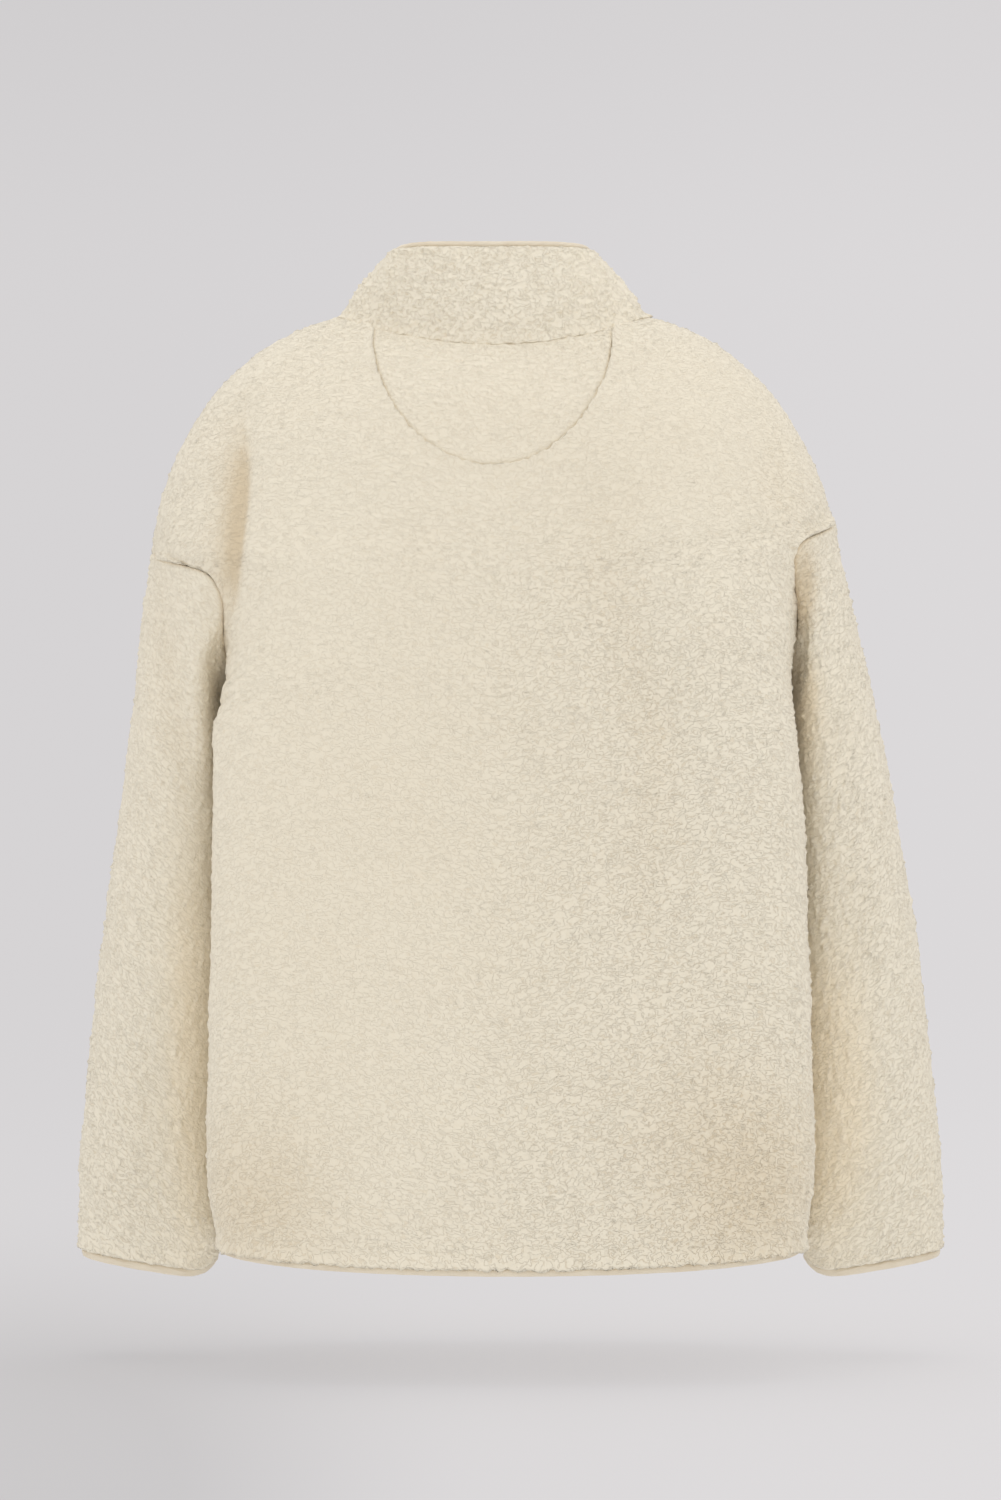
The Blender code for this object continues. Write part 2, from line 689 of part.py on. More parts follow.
def add_sweep(name, stations, finish, closed=False):
    """A solid through stations, each a loop of the same number of points."""
    stations = np.array(stations)
    count, corners = stations.shape[:2]
    faces = []
    for k in range(count if closed else count - 1):
        ahead = (k + 1) % count
        for c in range(corners):
            beside = (c + 1) % corners
            faces.append((k * corners + c, k * corners + beside,
                          ahead * corners + beside, ahead * corners + c))
    if not closed:
        faces.append(tuple(range(corners)))
        faces.append(tuple((count - 1) * corners + c for c in range(corners)))
    return add_object(name, lean(stations.reshape(-1, 3)), faces, finish)


# Share across the cloth's edge and share of the binding's height, round its section
BINDING_PROFILE = (
    (0.03, 0.00),
    (0.00, 0.70),
    (0.28, 1.00),
    (0.72, 1.00),
    (1.00, 0.70),
    (0.97, 0.00),
)


def binding_stations(outer, inner, before, height, closed=True):
    """Rounded sections that cap an edge, from its outer and inner points."""
    if closed:
        tangents = np.roll(outer, -1, axis=0) - np.roll(outer, 1, axis=0)
    else:
        tangents = np.gradient(outer, axis=0)
    stations = []
    for out, into, behind, tangent in zip(outer, inner, before, tangents):
        off = np.cross(tangent, into - out)
        off *= np.sign(np.dot(off, out - behind)) / np.linalg.norm(off)
        stations.append([out + across * (into - out) + off * (BINDING_GAP + down * height)
                         for across, down in BINDING_PROFILE])
    return stations


def add_bindings(skins, finish):
    """The bindings of hem, cuffs and collar."""
    columns = 2 * HALF_COLUMNS + 1
    back, front = skins["back"], skins["front"]
    hem = [np.concatenate([back[k][-columns:], front[k][-columns + 1:-1]]) for k in (0, 1)]
    before = np.concatenate([back[0][-2 * columns:-columns],
                             front[0][-2 * columns + 1:-columns - 1]])
    add_sweep("hem_binding", binding_stations(*hem, before, BINDING_HEM), finish, True)
    around = 2 * ARMHOLE_ROWS
    for name in ("left", "right"):
        outer, inner = skins[f"sleeve_{name}"]
        stations = binding_stations(outer[-around:], inner[-around:],
                                    outer[-2 * around:-around], BINDING_CUFF)
        add_sweep(f"cuff_binding_{name}", stations, finish, True)
    outer, inner = skins["collar"]
    width = len(outer) // (COLLAR_ROWS + 1)
    stations = binding_stations(outer[-width:], inner[-width:],
                                outer[-2 * width:-width], BINDING_COLLAR, closed=False)
    add_sweep("collar_binding", stations, finish)


def zip_lines(skins, side):
    """Inner points beside the slit, top to bottom: on its edge, and a column away."""
    outer, inner = skins["collar"]
    width = len(outer) // (COLLAR_ROWS + 1)
    edge, away = (0, 1) if side == LEFT else (width - 1, width - 2)
    rows = range(COLLAR_ROWS, 0, -1)
    edge_line = [inner[r * width + edge] for r in rows]
    away_line = [inner[r * width + away] for r in rows]
    outer_line = [outer[r * width + edge] for r in rows]
    outer, inner = skins["front"]
    columns = HALF_COLUMNS + 1
    slit_rows = SHOULDER_ROWS + ARMHOLE_ROWS + 1
    first = 0 if side == LEFT else slit_rows * columns
    for r in range(slit_rows):
        at = first + r * columns + HALF_COLUMNS
        edge_line.append(inner[at])
        away_line.append(inner[at - 1])
        outer_line.append(outer[at])
    below = 2 * slit_rows * columns + HALF_COLUMNS
    for line, source, shift in ((edge_line, inner, 0), (away_line, inner, -side),
                                (outer_line, outer, 0)):
        line.append(line[-1] + (source[below + shift] - line[-1]) * TAPE_OVERRUN)
    return np.array(edge_line), np.array(away_line), np.array(outer_line)


def tape_stations(skins, side):
    """Sections of one zip tape, which follows the inner side of the cloth."""
    stations = []
    for edge, away, outer in zip(*zip_lines(skins, side)):
        inward = (edge - outer) / np.linalg.norm(edge - outer)
        run = (away - edge) / (abs(away[0]) - abs(edge[0]))
        near = edge + run * (SEAM_GAP / 2 - abs(edge[0]))
        far = edge + run * (TAPE_WIDTH - abs(edge[0]))
        front, rear = inward * TAPE_CLEAR, inward * (TAPE_CLEAR + TAPE_THICK)
        stations.append([near + front, far + front, far + rear, near + rear])
    return stations


def centre_line(skins):
    """Points down the zip's middle at the cloth's inner side, and the way out there."""
    left = zip_lines(skins, LEFT)
    right = zip_lines(skins, RIGHT)
    middle = (left[0] + right[0]) / 2
    out = (left[2] + right[2]) / 2 - middle
    middle[:, 0] = 0
    out[:, 0] = 0
    return middle, out / np.linalg.norm(out, axis=1)[:, None]


def chain_stations(middle, out, start):
    """Sections of the closed teeth, from the slider down."""
    length = np.concatenate([[0], np.cumsum(np.linalg.norm(np.diff(middle, axis=0), axis=1))])
    share_start = np.array([np.interp(start, length, middle[:, k]) for k in range(3)])
    keep = length > start
    bottom = middle[-2] + (middle[-3] - middle[-2]) * CHAIN_STOP
    line = [share_start] + list(middle[keep][:-2]) + [bottom]
    ways = [out[keep][0]] + list(out[keep][:-1])
    half = CHAIN_WIDTH / 2
    section = ((-half, 0.25), (-half, 0.75), (-half * 0.6, 1.0),
               (half * 0.6, 1.0), (half, 0.75), (half, 0.25), (half * 0.6, 0.0),
               (-half * 0.6, 0.0))
    return [[point + np.array([across, 0, 0]) + way * CHAIN_THICK * rise
             for across, rise in section] for point, way in zip(line, ways)]


def box_into(bm, low, high):
    """A box between two corners, added to a bmesh."""
    size = [top - bottom for bottom, top in zip(low, high)]
    centre = [(top + bottom) / 2 for bottom, top in zip(low, high)]
    made = bmesh.ops.create_cube(bm, size=1)["verts"]
    bmesh.ops.scale(bm, vec=size, verts=made)
    bmesh.ops.translate(bm, vec=centre, verts=made)
    return made


def box_object(name, low, high, finish, bevel=0.0, corners_only=False):
    """A box object, its edges rounded by a bevel."""
    bm = bmesh.new()
    box_into(bm, low, high)
    if bevel:
        edges = bm.edges
        if corners_only:
            edges = [edge for edge in bm.edges
                     if abs(edge.verts[0].co.y - edge.verts[1].co.y) > 1e-6]
        bmesh.ops.bevel(bm, geom=list(edges), offset=bevel, segments=2, affect="EDGES",
                        profile=0.5, material=-1)
    mesh = bpy.data.meshes.new(name)
    bm.to_mesh(mesh)
    bm.free()
    return link(name, mesh, finish)


def combine(target, tool, operation):
    """Join a tool to a target, or cut it out, and keep only the target."""
    boolean = target.modifiers.new(tool.name, "BOOLEAN")
    boolean.operation = operation
    boolean.object = tool
    tool.hide_render = True
    tool.display_type = "WIRE"


def add_slider(place, metal):
    """Slider with its bail, and the pull that hangs in the bail, in the slider's frame.

    In that frame X is across, Z up along the teeth and -Y out of the garment.
    """
    half_width, half_length = SLIDER_WIDTH / 2, SLIDER_LENGTH / 2
    slider = box_object("zip_slider", (-half_width, -SLIDER_THICK, -half_length),
                        (half_width, 0, half_length), metal, bevel=SLIDER_BEVEL)
    bail_half = BAIL_LENGTH / 2
    bail = box_object("bail_form", (-BAIL_WIDTH / 2, -SLIDER_THICK - BAIL_RISE, -bail_half),
                      (BAIL_WIDTH / 2, -SLIDER_THICK + BAIL_SINK, bail_half), metal)
    window = box_object("bail_window",
                        (-BAIL_WIDTH, -SLIDER_THICK - BAIL_RISE + BAIL_BAR,
                         -bail_half + BAIL_BAR),
                        (BAIL_WIDTH, -SLIDER_THICK, bail_half - BAIL_BAR), metal)
    combine(slider, bail, "UNION")
    combine(slider, window, "DIFFERENCE")

    half_pull, half_thick = PULL_WIDTH / 2, PULL_THICK / 2
    pull = box_object("zip_pull", (-half_pull, -half_thick, -PULL_LENGTH),
                      (half_pull, half_thick, half_thick), metal, bevel=PULL_CORNER,
                      corners_only=True)
    hole = box_object("pull_window",
                      (-PULL_WINDOW_WIDTH / 2, -PULL_THICK, -half_thick - PULL_WINDOW_LENGTH),
                      (PULL_WINDOW_WIDTH / 2, PULL_THICK, -half_thick), metal)
    combine(pull, hole, "DIFFERENCE")
    for thing in (slider, bail, window):
        thing.matrix_world = place
    pivot = place @ Matrix.Translation((0, -SLIDER_THICK - PIVOT_RISE, 0))
    for thing in (pull, hole):
        thing.matrix_world = pivot


def slider_place(middle, out):
    """World frame of the slider on the zip's middle line."""
    length = np.concatenate([[0], np.cumsum(np.linalg.norm(np.diff(middle, axis=0), axis=1))])
    at = np.array([np.interp(SLIDER_AT, length, middle[:, k]) for k in range(3)])
    up = middle[0] - middle[2]
    up /= np.linalg.norm(up)
    across = np.array([1.0, 0.0, 0.0])
    inward = np.cross(up, across)
    at = lean(at[None])[0]
    return Matrix([(across[k], inward[k], up[k], at[k]) for k in range(3)] + [(0, 0, 0, 1)])


def add_zip(skins):
    """Tapes, closed teeth, slider and pull of the half zip."""
    tape = material("zip_tape", TAPE_CREAM, 0.85)
    teeth = material("zip_teeth", TAPE_CREAM, 0.5)
    metal = material("zip_metal", NICKEL, 0.35, 1.0)
    add_sweep("zip_tape_left", tape_stations(skins, LEFT), tape)
    add_sweep("zip_tape_right", tape_stations(skins, RIGHT), tape)
    middle, out = centre_line(skins)
    start = SLIDER_AT + SLIDER_LENGTH / 2 + SEAM_GAP
    add_sweep("zip_chain", chain_stations(middle, out, start), teeth)
    add_slider(slider_place(middle, out), metal)


def build():
    """Model the whole garment."""
    for thing in list(bpy.data.objects):
        bpy.data.objects.remove(thing, do_unlink=True)
    cloth = material("sherpa", CREAM, 0.95)
    bound = material("binding", BINDING_CREAM, 0.8)

    back, moon = back_and_moon()
    front = front_panel()
    columns = 2 * HALF_COLUMNS + 1
    slit_rows = SHOULDER_ROWS + ARMHOLE_ROWS + 1
    beside = HALF_COLUMNS - MOON_COLUMNS
    front_left = front[0][:HALF_COLUMNS + 1]
    front_right = front[0][slit_rows * (HALF_COLUMNS + 1):][:HALF_COLUMNS + 1]
    neck_back = np.concatenate([back[0][:beside], moon[0][:2 * MOON_COLUMNS + 1],
                                back[0][columns - beside:columns]])[::-1]
    pieces = {
        "back": back,
        "back_neck": moon,
        "front": front,
        "sleeve_left": sleeve(LEFT),
        "sleeve_right": sleeve(RIGHT),
        "collar": collar(front_left, neck_back, front_right),
    }
    pieces = {name: merged(*piece) for name, piece in pieces.items()}
    normals = seam_normals(pieces)
    skins = {}
    for name, (points, faces) in pieces.items():
        outer = points + drawn_in(points, faces, normals)
        inner = outer - WALL * np.array([normals[key(point)] for point in points])
        skins[name] = outer, inner
        add_wall(name, outer, inner, faces, points, cloth)
    add_bindings(skins, bound)
    add_zip(skins)


build()
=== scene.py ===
"""Looks of a cream sherpa fleece pullover with a half zip, hanging open as if worn.

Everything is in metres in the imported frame: +Z is up, the front faces -Y and the
wearer's left is at +X. Each piece of cloth takes its form from its own solid in the
frame, and gets its pile, its sunk seams and its soft edges here.
"""

from __future__ import annotations

import json
import logging
import math
from dataclasses import dataclass, field
from enum import Enum
from typing import Any, Iterable, Optional, Sequence, Union

import bmesh
import bpy
import numpy as np
from bpy.types import Material, Mesh, NodeSocket, Object
from mathutils import Matrix, Vector, noise
from mathutils.bvhtree import BVHTree
from mathutils.kdtree import KDTree

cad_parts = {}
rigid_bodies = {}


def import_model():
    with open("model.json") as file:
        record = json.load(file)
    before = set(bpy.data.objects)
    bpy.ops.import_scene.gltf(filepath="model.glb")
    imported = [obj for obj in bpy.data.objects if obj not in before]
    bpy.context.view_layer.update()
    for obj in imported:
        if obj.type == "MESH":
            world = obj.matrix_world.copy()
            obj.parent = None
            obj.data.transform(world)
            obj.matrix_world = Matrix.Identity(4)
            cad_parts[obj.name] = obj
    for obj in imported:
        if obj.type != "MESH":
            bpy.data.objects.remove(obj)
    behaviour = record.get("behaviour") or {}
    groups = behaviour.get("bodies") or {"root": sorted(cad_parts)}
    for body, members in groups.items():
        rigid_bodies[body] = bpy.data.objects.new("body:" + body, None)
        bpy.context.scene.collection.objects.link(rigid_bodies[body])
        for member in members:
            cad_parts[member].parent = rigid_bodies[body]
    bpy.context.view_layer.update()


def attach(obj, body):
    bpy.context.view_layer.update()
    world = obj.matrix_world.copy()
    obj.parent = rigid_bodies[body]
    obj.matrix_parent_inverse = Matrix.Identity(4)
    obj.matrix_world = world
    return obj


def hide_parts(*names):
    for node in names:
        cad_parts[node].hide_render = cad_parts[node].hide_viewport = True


LOG = logging.getLogger("pullover")

GARMENT = "garment"

IMAGE_LONG_SIDE = 1500  # in pixels
SENSOR_WIDTH = 36.0  # in millimetres
NARROW = math.radians(50)  # beam of the lights that stand near the garment

MERGE_DISTANCE = 1e-5
FLAT_TURN = math.radians(40)  # an edge that bends less isn't a fold
QUAD_TURN = 0.6  # two triangles that bend more stay apart
FACING = 0.75  # cosine beyond which two faces look at each other
SEAM_REACH = 0.0008  # nearer than this, two cut edges face each other
TOUCHING = 0.004  # nearer than this, two pieces meet at a seam
SLIT_REACH = 0.016  # the slit's edges lie this near to the middle

CORRECTION_ROUNDS = 3  # how often a skin is drawn nearer to its coarse vertices
RELAX_ROUNDS = 20
RELAX_FACTOR = 0.5
NO_LENGTH = 1e-7  # stands for a length of nothing in a division
CALM_ROUNDS = 10
CALM_FACTORS = (0.5, -0.53)  # in and out again, so that the form keeps its size
TAPER_END = 0.03  # share of a crease's length that is cut off its taper
SHADE_EDGE = 1.5  # how sharply the painted shade beside a crease ends
REAR_SLOPE = 2.0  # how fast creases and the painted shading fade as the cloth turns aside

MATTED = (((0.11, -0.33), (0.15, 0.40)), ((-0.12, -0.10), (0.11, 0.10)),
          ((0.0, -0.10), (0.09, 0.07)))  # middle and reach of the brushed-down patches
MATTED_EDGE = 1.5  # how sharply those patches end
COLLAR_FADE = 0.03  # drop below the collar over which the brushing begins

CLUMP_SEED, CURL_SEED, TUFT_SEED = 3.1, 17.7, 7.9
SPIKE_SEED, WAVE_SEED, RIPPLE_SEED = 29.3, 41.3, 5.5

FLEECE_NODES = ("back", "back_neck", "front", "sleeve_left", "sleeve_right", "collar")
BINDING_NODES = ("collar_binding", "cuff_binding_left", "cuff_binding_right", "hem_binding")

BMesh, BMFace, BMVert = bmesh.types.BMesh, bmesh.types.BMFace, bmesh.types.BMVert
Key = Union[str, int]
Array = np.ndarray
Trees = dict[str, BVHTree]
Triple = tuple[float, float, float]
Colour = Triple
Span = tuple[float, float]


class Slot(Enum):
    """Names of material slots, which nothing here reads."""

    SHERPA = "sherpa"
    BINDING = "binding"
    TEETH = "zip_teeth"


# ---- shader maths


class Expr:
    """A shader value on which Python's operators add Math nodes."""

    def __init__(self, graph: "Graph", socket: NodeSocket) -> None:
        """Wraps an output socket of a graph."""
        self.graph = graph
        self.socket = socket

    def math(self, operation: str, *values: Any) -> "Expr":
        """Adds a Math node with its inputs in order, numbers or expressions."""
        return self.graph.add("ShaderNodeMath", {"operation": operation}, dict(enumerate(values)))

    def __add__(self, other: Any) -> "Expr":
        """Sum."""
        return self.math("ADD", self, other)

    def __radd__(self, other: Any) -> "Expr":
        """Sum, with the number first."""
        return self.math("ADD", other, self)

    def __sub__(self, other: Any) -> "Expr":
        """Difference."""
        return self.math("SUBTRACT", self, other)

    def __rsub__(self, other: Any) -> "Expr":
        """Difference, with the number first."""
        return self.math("SUBTRACT", other, self)

    def __mul__(self, other: Any) -> "Expr":
        """Product."""
        return self.math("MULTIPLY", self, other)

    def __rmul__(self, other: Any) -> "Expr":
        """Product, with the number first."""
        return self.math("MULTIPLY", other, self)

    def __truediv__(self, other: Any) -> "Expr":
        """Quotient."""
        return self.math("DIVIDE", self, other)

    def __abs__(self) -> "Expr":
        """Absolute value."""
        return self.math("ABSOLUTE", self)

    def sine(self) -> "Expr":
        """Sine."""
        return self.math("SINE", self)

    def ease(self, low: float, high: float) -> "Expr":
        """Smooth step from 0 at the low value to 1 at the high one, which may be below."""
        start, end, first, last = (low, high, 0.0, 1.0) if low < high else (high, low, 1.0, 0.0)
        return self.graph.add(
            "ShaderNodeMapRange", {"interpolation_type": "SMOOTHSTEP"},
            {"Value": self, "From Min": start, "From Max": end, "To Min": first, "To Max": last})


class Graph:
    """The nodes of one material."""

    def __init__(self, name: str) -> None:
        """Starts an empty material with an output."""
        self.material = bpy.data.materials.new(name)
        self.material.use_nodes = True
        self.tree = self.material.node_tree
        self.tree.nodes.clear()

    def add(self, kind: str, settings: Optional[dict[str, Any]] = None,
            inputs: Optional[dict[Key, Any]] = None, output: Key = 0) -> Expr:
        """Adds a node, sets it and links it.

        Args:
            kind: The node's type.
            settings: Its properties.
            inputs: Values or expressions by socket name or number.
            output: The socket that the result reads.

        Returns:
            The chosen output.
        """
        node = self.tree.nodes.new(kind)
        for name, value in (settings or {}).items():
            setattr(node, name, value)
        for name, value in (inputs or {}).items():
            if isinstance(value, Expr):
                self.tree.links.new(value.socket, node.inputs[name])
            else:
                node.inputs[name].default_value = value
        return Expr(self, node.outputs[output])

    def split(self, vector: Expr) -> tuple[Expr, Expr, Expr]:
        """The three parts of a vector."""
        first = self.add("ShaderNodeSeparateXYZ", inputs={0: vector})
        outputs = first.socket.node.outputs
        return first, Expr(self, outputs[1]), Expr(self, outputs[2])

    def read(self, name: str, output: str = "Fac") -> Expr:
        """An attribute of the mesh."""
        return self.add("ShaderNodeAttribute", {"attribute_name": name}, output=output)

    def place(self) -> Expr:
        """The place on the object."""
        return self.add("ShaderNodeTexCoord", output="Object")

    def wave(self, along: Expr, pitch: float) -> Expr:
        """A sine wave from -1 to 1."""
        return (along * (math.tau / pitch)).sine()

    def scaled(self, vector: Expr, factors: Sequence[float]) -> Expr:
        """A vector with each of its parts multiplied."""
        return self.add("ShaderNodeVectorMath", {"operation": "MULTIPLY"},
                        {0: vector, 1: tuple(factors)})

    def blend(self, factor: Any, first: Any, second: Any) -> Expr:
        """A mix of two colours, from the first at a factor of 0 to the second at 1."""
        colours = [c if isinstance(c, Expr) else (*c, 1.0) for c in (first, second)]
        return self.add("ShaderNodeMix", {"data_type": "RGBA"},
                        {0: factor, 6: colours[0], 7: colours[1]}, 2)

    def noise(self, vector: Expr, scale: float = 1.0, detail: float = 2.0,
              roughness: float = 0.5, distortion: float = 0.0) -> Expr:
        """Soft noise from 0 to 1 at places given in cells."""
        return self.add("ShaderNodeTexNoise", inputs={
            "Vector": vector, "Scale": scale, "Detail": detail,
            "Roughness": roughness, "Distortion": distortion})

    def cells(self, vector: Expr, scale: float) -> Expr:
        """Distance to the middle of the nearest of many random cells."""
        return self.add("ShaderNodeTexVoronoi", {"feature": "SMOOTH_F1"}, {
            "Vector": vector, "Scale": scale, "Smoothness": 0.6, "Randomness": 1.0})

    def bump(self, height: Expr, distance: float, strength: float) -> Expr:
        """A normal bent by a height, in units of the distance."""
        return self.add("ShaderNodeBump", inputs={
            "Strength": strength, "Distance": distance, "Height": height})

    def finish(self, **sockets: Any) -> Material:
        """Adds the shader, with its sockets' values by name, and the output."""
        inputs = {name.replace("_", " "): value for name, value in sockets.items()}
        surface = self.add("ShaderNodeBsdfPrincipled", inputs=inputs)
        ending = self.tree.nodes.new("ShaderNodeOutputMaterial")
        self.tree.links.new(surface.socket, ending.inputs["Surface"])
        return self.material


# ---- finishes


@dataclass(frozen=True)
class SherpaFinish:
    """Curled cream pile on a plain knitted backing.

    The sizes are in metres. A relief is a share of the bump's height, and a shade is how far
    something goes from the colour of the tips to that of the roots and of painted shade. Save
    for the clouds' random tone, every shade is painted shade, or painted light where negative.
    """

    tips: Colour = (0.866, 0.798, 0.654)
    # darker root colour, which stands mostly for painted shade in the pile's hollows and creases
    roots_and_shade: Colour = (0.700, 0.580, 0.405)
    painted_warm_light: Colour = (0.930, 0.825, 0.640)  # painted warm light, where the painted shading is negative
    full_painted_light: float = -0.6  # the painted shading's tone that is all painted warm light
    shade_range: Span = (-0.08, 1.12)
    backing: Colour = (0.760, 0.690, 0.570)
    backing_dim: float = 0.86
    backing_rib: float = 0.0016
    backing_relief: float = 0.12
    clump: float = 0.0062  # width of a clump of curls along the cloth
    clump_drop: float = 0.0037  # and down it
    clump_relief: float = 0.55
    clump_shade: float = 0.18
    worm: Span = (1.25, 1.2)  # the fissures' rate against the clumps'
    fissure: float = 0.045  # reach of a fissure, in the noise's values
    fissure_relief: float = 0.35
    fissure_shade: float = 0.34
    curl: float = 0.0023
    curl_relief: float = 0.40
    curl_shade: float = 0.30
    fibre: float = 0.0007
    fibre_relief: float = 0.20
    cloud_rate: float = 11.0  # broad clouds in a metre
    cloud_shade: float = 0.14
    # painted shade in the sunk seams
    groove_shade: float = 0.55
    # painted shade that brushed patches get in place of the curls' shade they lose
    matted_shade: float = 0.16
    matted_calm: float = 0.5  # how much brushing flattens the curls
    matted_even: float = 0.4  # and evens the clumps' tone
    bump_height: float = 0.001
    bump_strength: float = 0.92

    def material(self) -> Material:
        """Builds the material.

        Returns:
            The pile where the attribute pile is 1, and the backing where it is 0.
        """
        graph = Graph("cream_sherpa")
        cloth, pile = graph.read("cloth", "Vector"), graph.read("pile")
        groove, matted, nap = (graph.read(name) for name in ("groove", "matted", "nap"))
        across, drop = 1 / self.clump, 1 / self.clump_drop
        clumps = graph.noise(graph.scaled(cloth, (across, across, drop)), detail=2.0,
                             roughness=0.55, distortion=0.5)
        across, drop = across * self.worm[0], drop * self.worm[1]
        worms = graph.noise(graph.scaled(cloth, (across, across, drop)), detail=1.0,
                            distortion=0.9)
        fissure = abs(worms - 0.5).ease(self.fissure, 0.0)
        curls = graph.cells(cloth, 1 / self.curl)
        fibres = graph.noise(cloth, 1 / self.fibre)
        clouds = graph.noise(cloth, self.cloud_rate)
        loose = 1.0 - matted * self.matted_calm
        height = (clumps * self.clump_relief - fissure * self.fissure_relief
                  - curls * self.curl_relief) * loose + fibres * self.fibre_relief
        # painted shade in the fissures, between the curls, in the clumps' hollows, in sunk seams
        # and on brushed patches, random clouds of tone, and the spots of painted shade and light
        shade = ((fissure * self.fissure_shade + curls * self.curl_shade) * loose
                 + (0.5 - clumps) * self.clump_shade * (1.0 - matted * self.matted_even)
                 + (0.5 - clouds) * self.cloud_shade + groove * self.groove_shade + nap
                 + matted * self.matted_shade)
        tone = graph.blend(shade.ease(*self.shade_range), self.tips, self.roots_and_shade)
        # where the painted shading is negative, the colour turns to painted warm light
        tone = graph.blend(nap.ease(0.0, self.full_painted_light), tone, self.painted_warm_light)
        x, _, z = graph.split(cloth)
        knit = graph.wave(z, self.backing_rib) * graph.wave(x, self.backing_rib)
        plain = graph.blend(knit * self.backing_relief + 0.5, self.backing,
                            tuple(c * self.backing_dim for c in self.backing))
        relief = height * pile + knit * self.backing_relief * (1.0 - pile)
        return graph.finish(
            Base_Color=graph.blend(pile, plain, tone),
            Roughness=0.95, Sheen_Weight=0.25, Sheen_Roughness=0.55,
            Sheen_Tint=(1.0, 0.95, 0.86, 1.0), Specular_IOR_Level=0.15,
            Normal=graph.bump(relief, self.bump_height, self.bump_strength))


@dataclass(frozen=True)
class JerseyFinish:
    """Smooth stretch binding with a fine rib."""

    face: Colour = (0.810, 0.720, 0.570)
    shade: Colour = (0.720, 0.615, 0.460)
    shade_range: Span = (0.25, 0.95)
    row: float = 0.0009
    row_relief: float = 0.5
    row_shade: float = 0.05
    stitch: float = 0.0009 * 1.3
    stitch_relief: float = 0.3
    cloud_rate: float = 60.0
    cloud_relief: float = 1.4
    bump_height: float = 0.00018

    def material(self) -> Material:
        """Builds the material."""
        graph = Graph("cream_jersey")
        place = graph.place()
        x, y, z = graph.split(place)
        rows, stitches = graph.wave(z, self.row), graph.wave(x + y, self.stitch)
        clouds = graph.noise(place, self.cloud_rate, detail=3.0)
        weave = (rows * self.row_relief + stitches * self.stitch_relief
                 + clouds * self.cloud_relief)
        tone = graph.blend((clouds + rows * self.row_shade).ease(*self.shade_range),
                           self.face, self.shade)
        return graph.finish(Base_Color=tone, Roughness=0.82, Sheen_Weight=0.12,
                            Specular_IOR_Level=0.3,
                            Normal=graph.bump(weave, self.bump_height, strength=0.7))


@dataclass(frozen=True)
class TapeFinish:
    """Herringbone tape of the zip."""

    face: Colour = (0.700, 0.620, 0.500)
    shade: Colour = (0.540, 0.460, 0.350)
    pitch: float = 0.0011
    zigzag: float = 0.0011 * 4
    bump_height: float = 0.00012

    def material(self) -> Material:
        """Builds the material."""
        graph = Graph("cream_tape")
        x, _, z = graph.split(graph.place())
        zigzag = abs(graph.wave(x, self.zigzag))
        weave = graph.wave(z + zigzag * self.pitch, self.pitch)
        tone = graph.blend(weave * 0.5 + 0.5, self.face, self.shade)
        return graph.finish(Base_Color=tone, Roughness=0.85,
                            Normal=graph.bump(weave, self.bump_height, strength=0.8))


@dataclass(frozen=True)
class MetalFinish:
    """Brushed nickel of the zip's metal."""

    name: str = "nickel"
    colour: Colour = (0.66, 0.64, 0.60)
    worn: Colour = (0.50, 0.48, 0.45)
    worn_range: Span = (0.35, 0.75)
    brush_rates: Triple = (2600.0, 2600.0, 300.0)
    cloud_rate: float = 220.0
    roughness: Span = (0.24, 0.16)      # its least value, and what the brushing adds
    bump_height: float = 0.00002

    def material(self) -> Material:
        """Builds the material."""
        graph = Graph(self.name)
        place = graph.place()
        brushed = graph.noise(graph.scaled(place, self.brush_rates), detail=3.0)
        clouds = graph.noise(place, self.cloud_rate, detail=3.0)
        tone = graph.blend(clouds.ease(*self.worn_range), self.colour, self.worn)
        return graph.finish(Base_Color=tone, Metallic=1.0,
                            Roughness=brushed * self.roughness[1] + self.roughness[0],
                            Normal=graph.bump(brushed, self.bump_height, strength=0.5))


@dataclass(frozen=True)
class BackdropFinish:
    """Matt pale paper of the studio, lit mostly by its own painted glow.

    The fades are the two ends of a soft step. Aside and above are tangents, as seen from
    the eye.
    """

    colour: Colour = (0.190, 0.188, 0.190)
    # painted light of the paper, which painted shade darkens to the left, high up and in the low
    # left corner
    glow: Colour = (0.543, 0.528, 0.534)
    dim: float = 0.76  # painted glow in the darkest, most shaded corner
    eye: Triple = (0.0, 3.6, -0.315)
    left_fade: Span = (-0.10, 0.10)
    left_dark: float = 0.30
    top_fade: Span = (0.09, 0.17)
    top_dark: float = 0.30
    corner_aside: Span = (0.0, 0.10)
    corner_above: Span = (-0.09, -0.145)
    far_fade: Span = (3.0, 1.2)  # in y: the paper on the eye's own side is even

    def material(self) -> Material:
        """Builds the paper, whose painted glow darkens with painted shade to the left, high up and
        low on the left.
        """
        graph = Graph("studio_paper")
        x, y, z = graph.split(graph.place())
        depth = self.eye[1] - y
        aside, above = x / depth, (z - self.eye[2]) / depth
        left, top = aside.ease(*self.left_fade), above.ease(*self.top_fade)
        corner = aside.ease(*self.corner_aside) * above.ease(*self.corner_above)
        dark = left * self.left_dark + top * self.top_dark + corner
        glow = graph.blend(dark * y.ease(*self.far_fade), self.glow,
                           tuple(c * self.dim for c in self.glow))
        return graph.finish(Base_Color=(*self.colour, 1.0), Roughness=1.0,
                            Specular_IOR_Level=0.0, Emission_Color=glow, Emission_Strength=1.0)


# ---- mesh handling


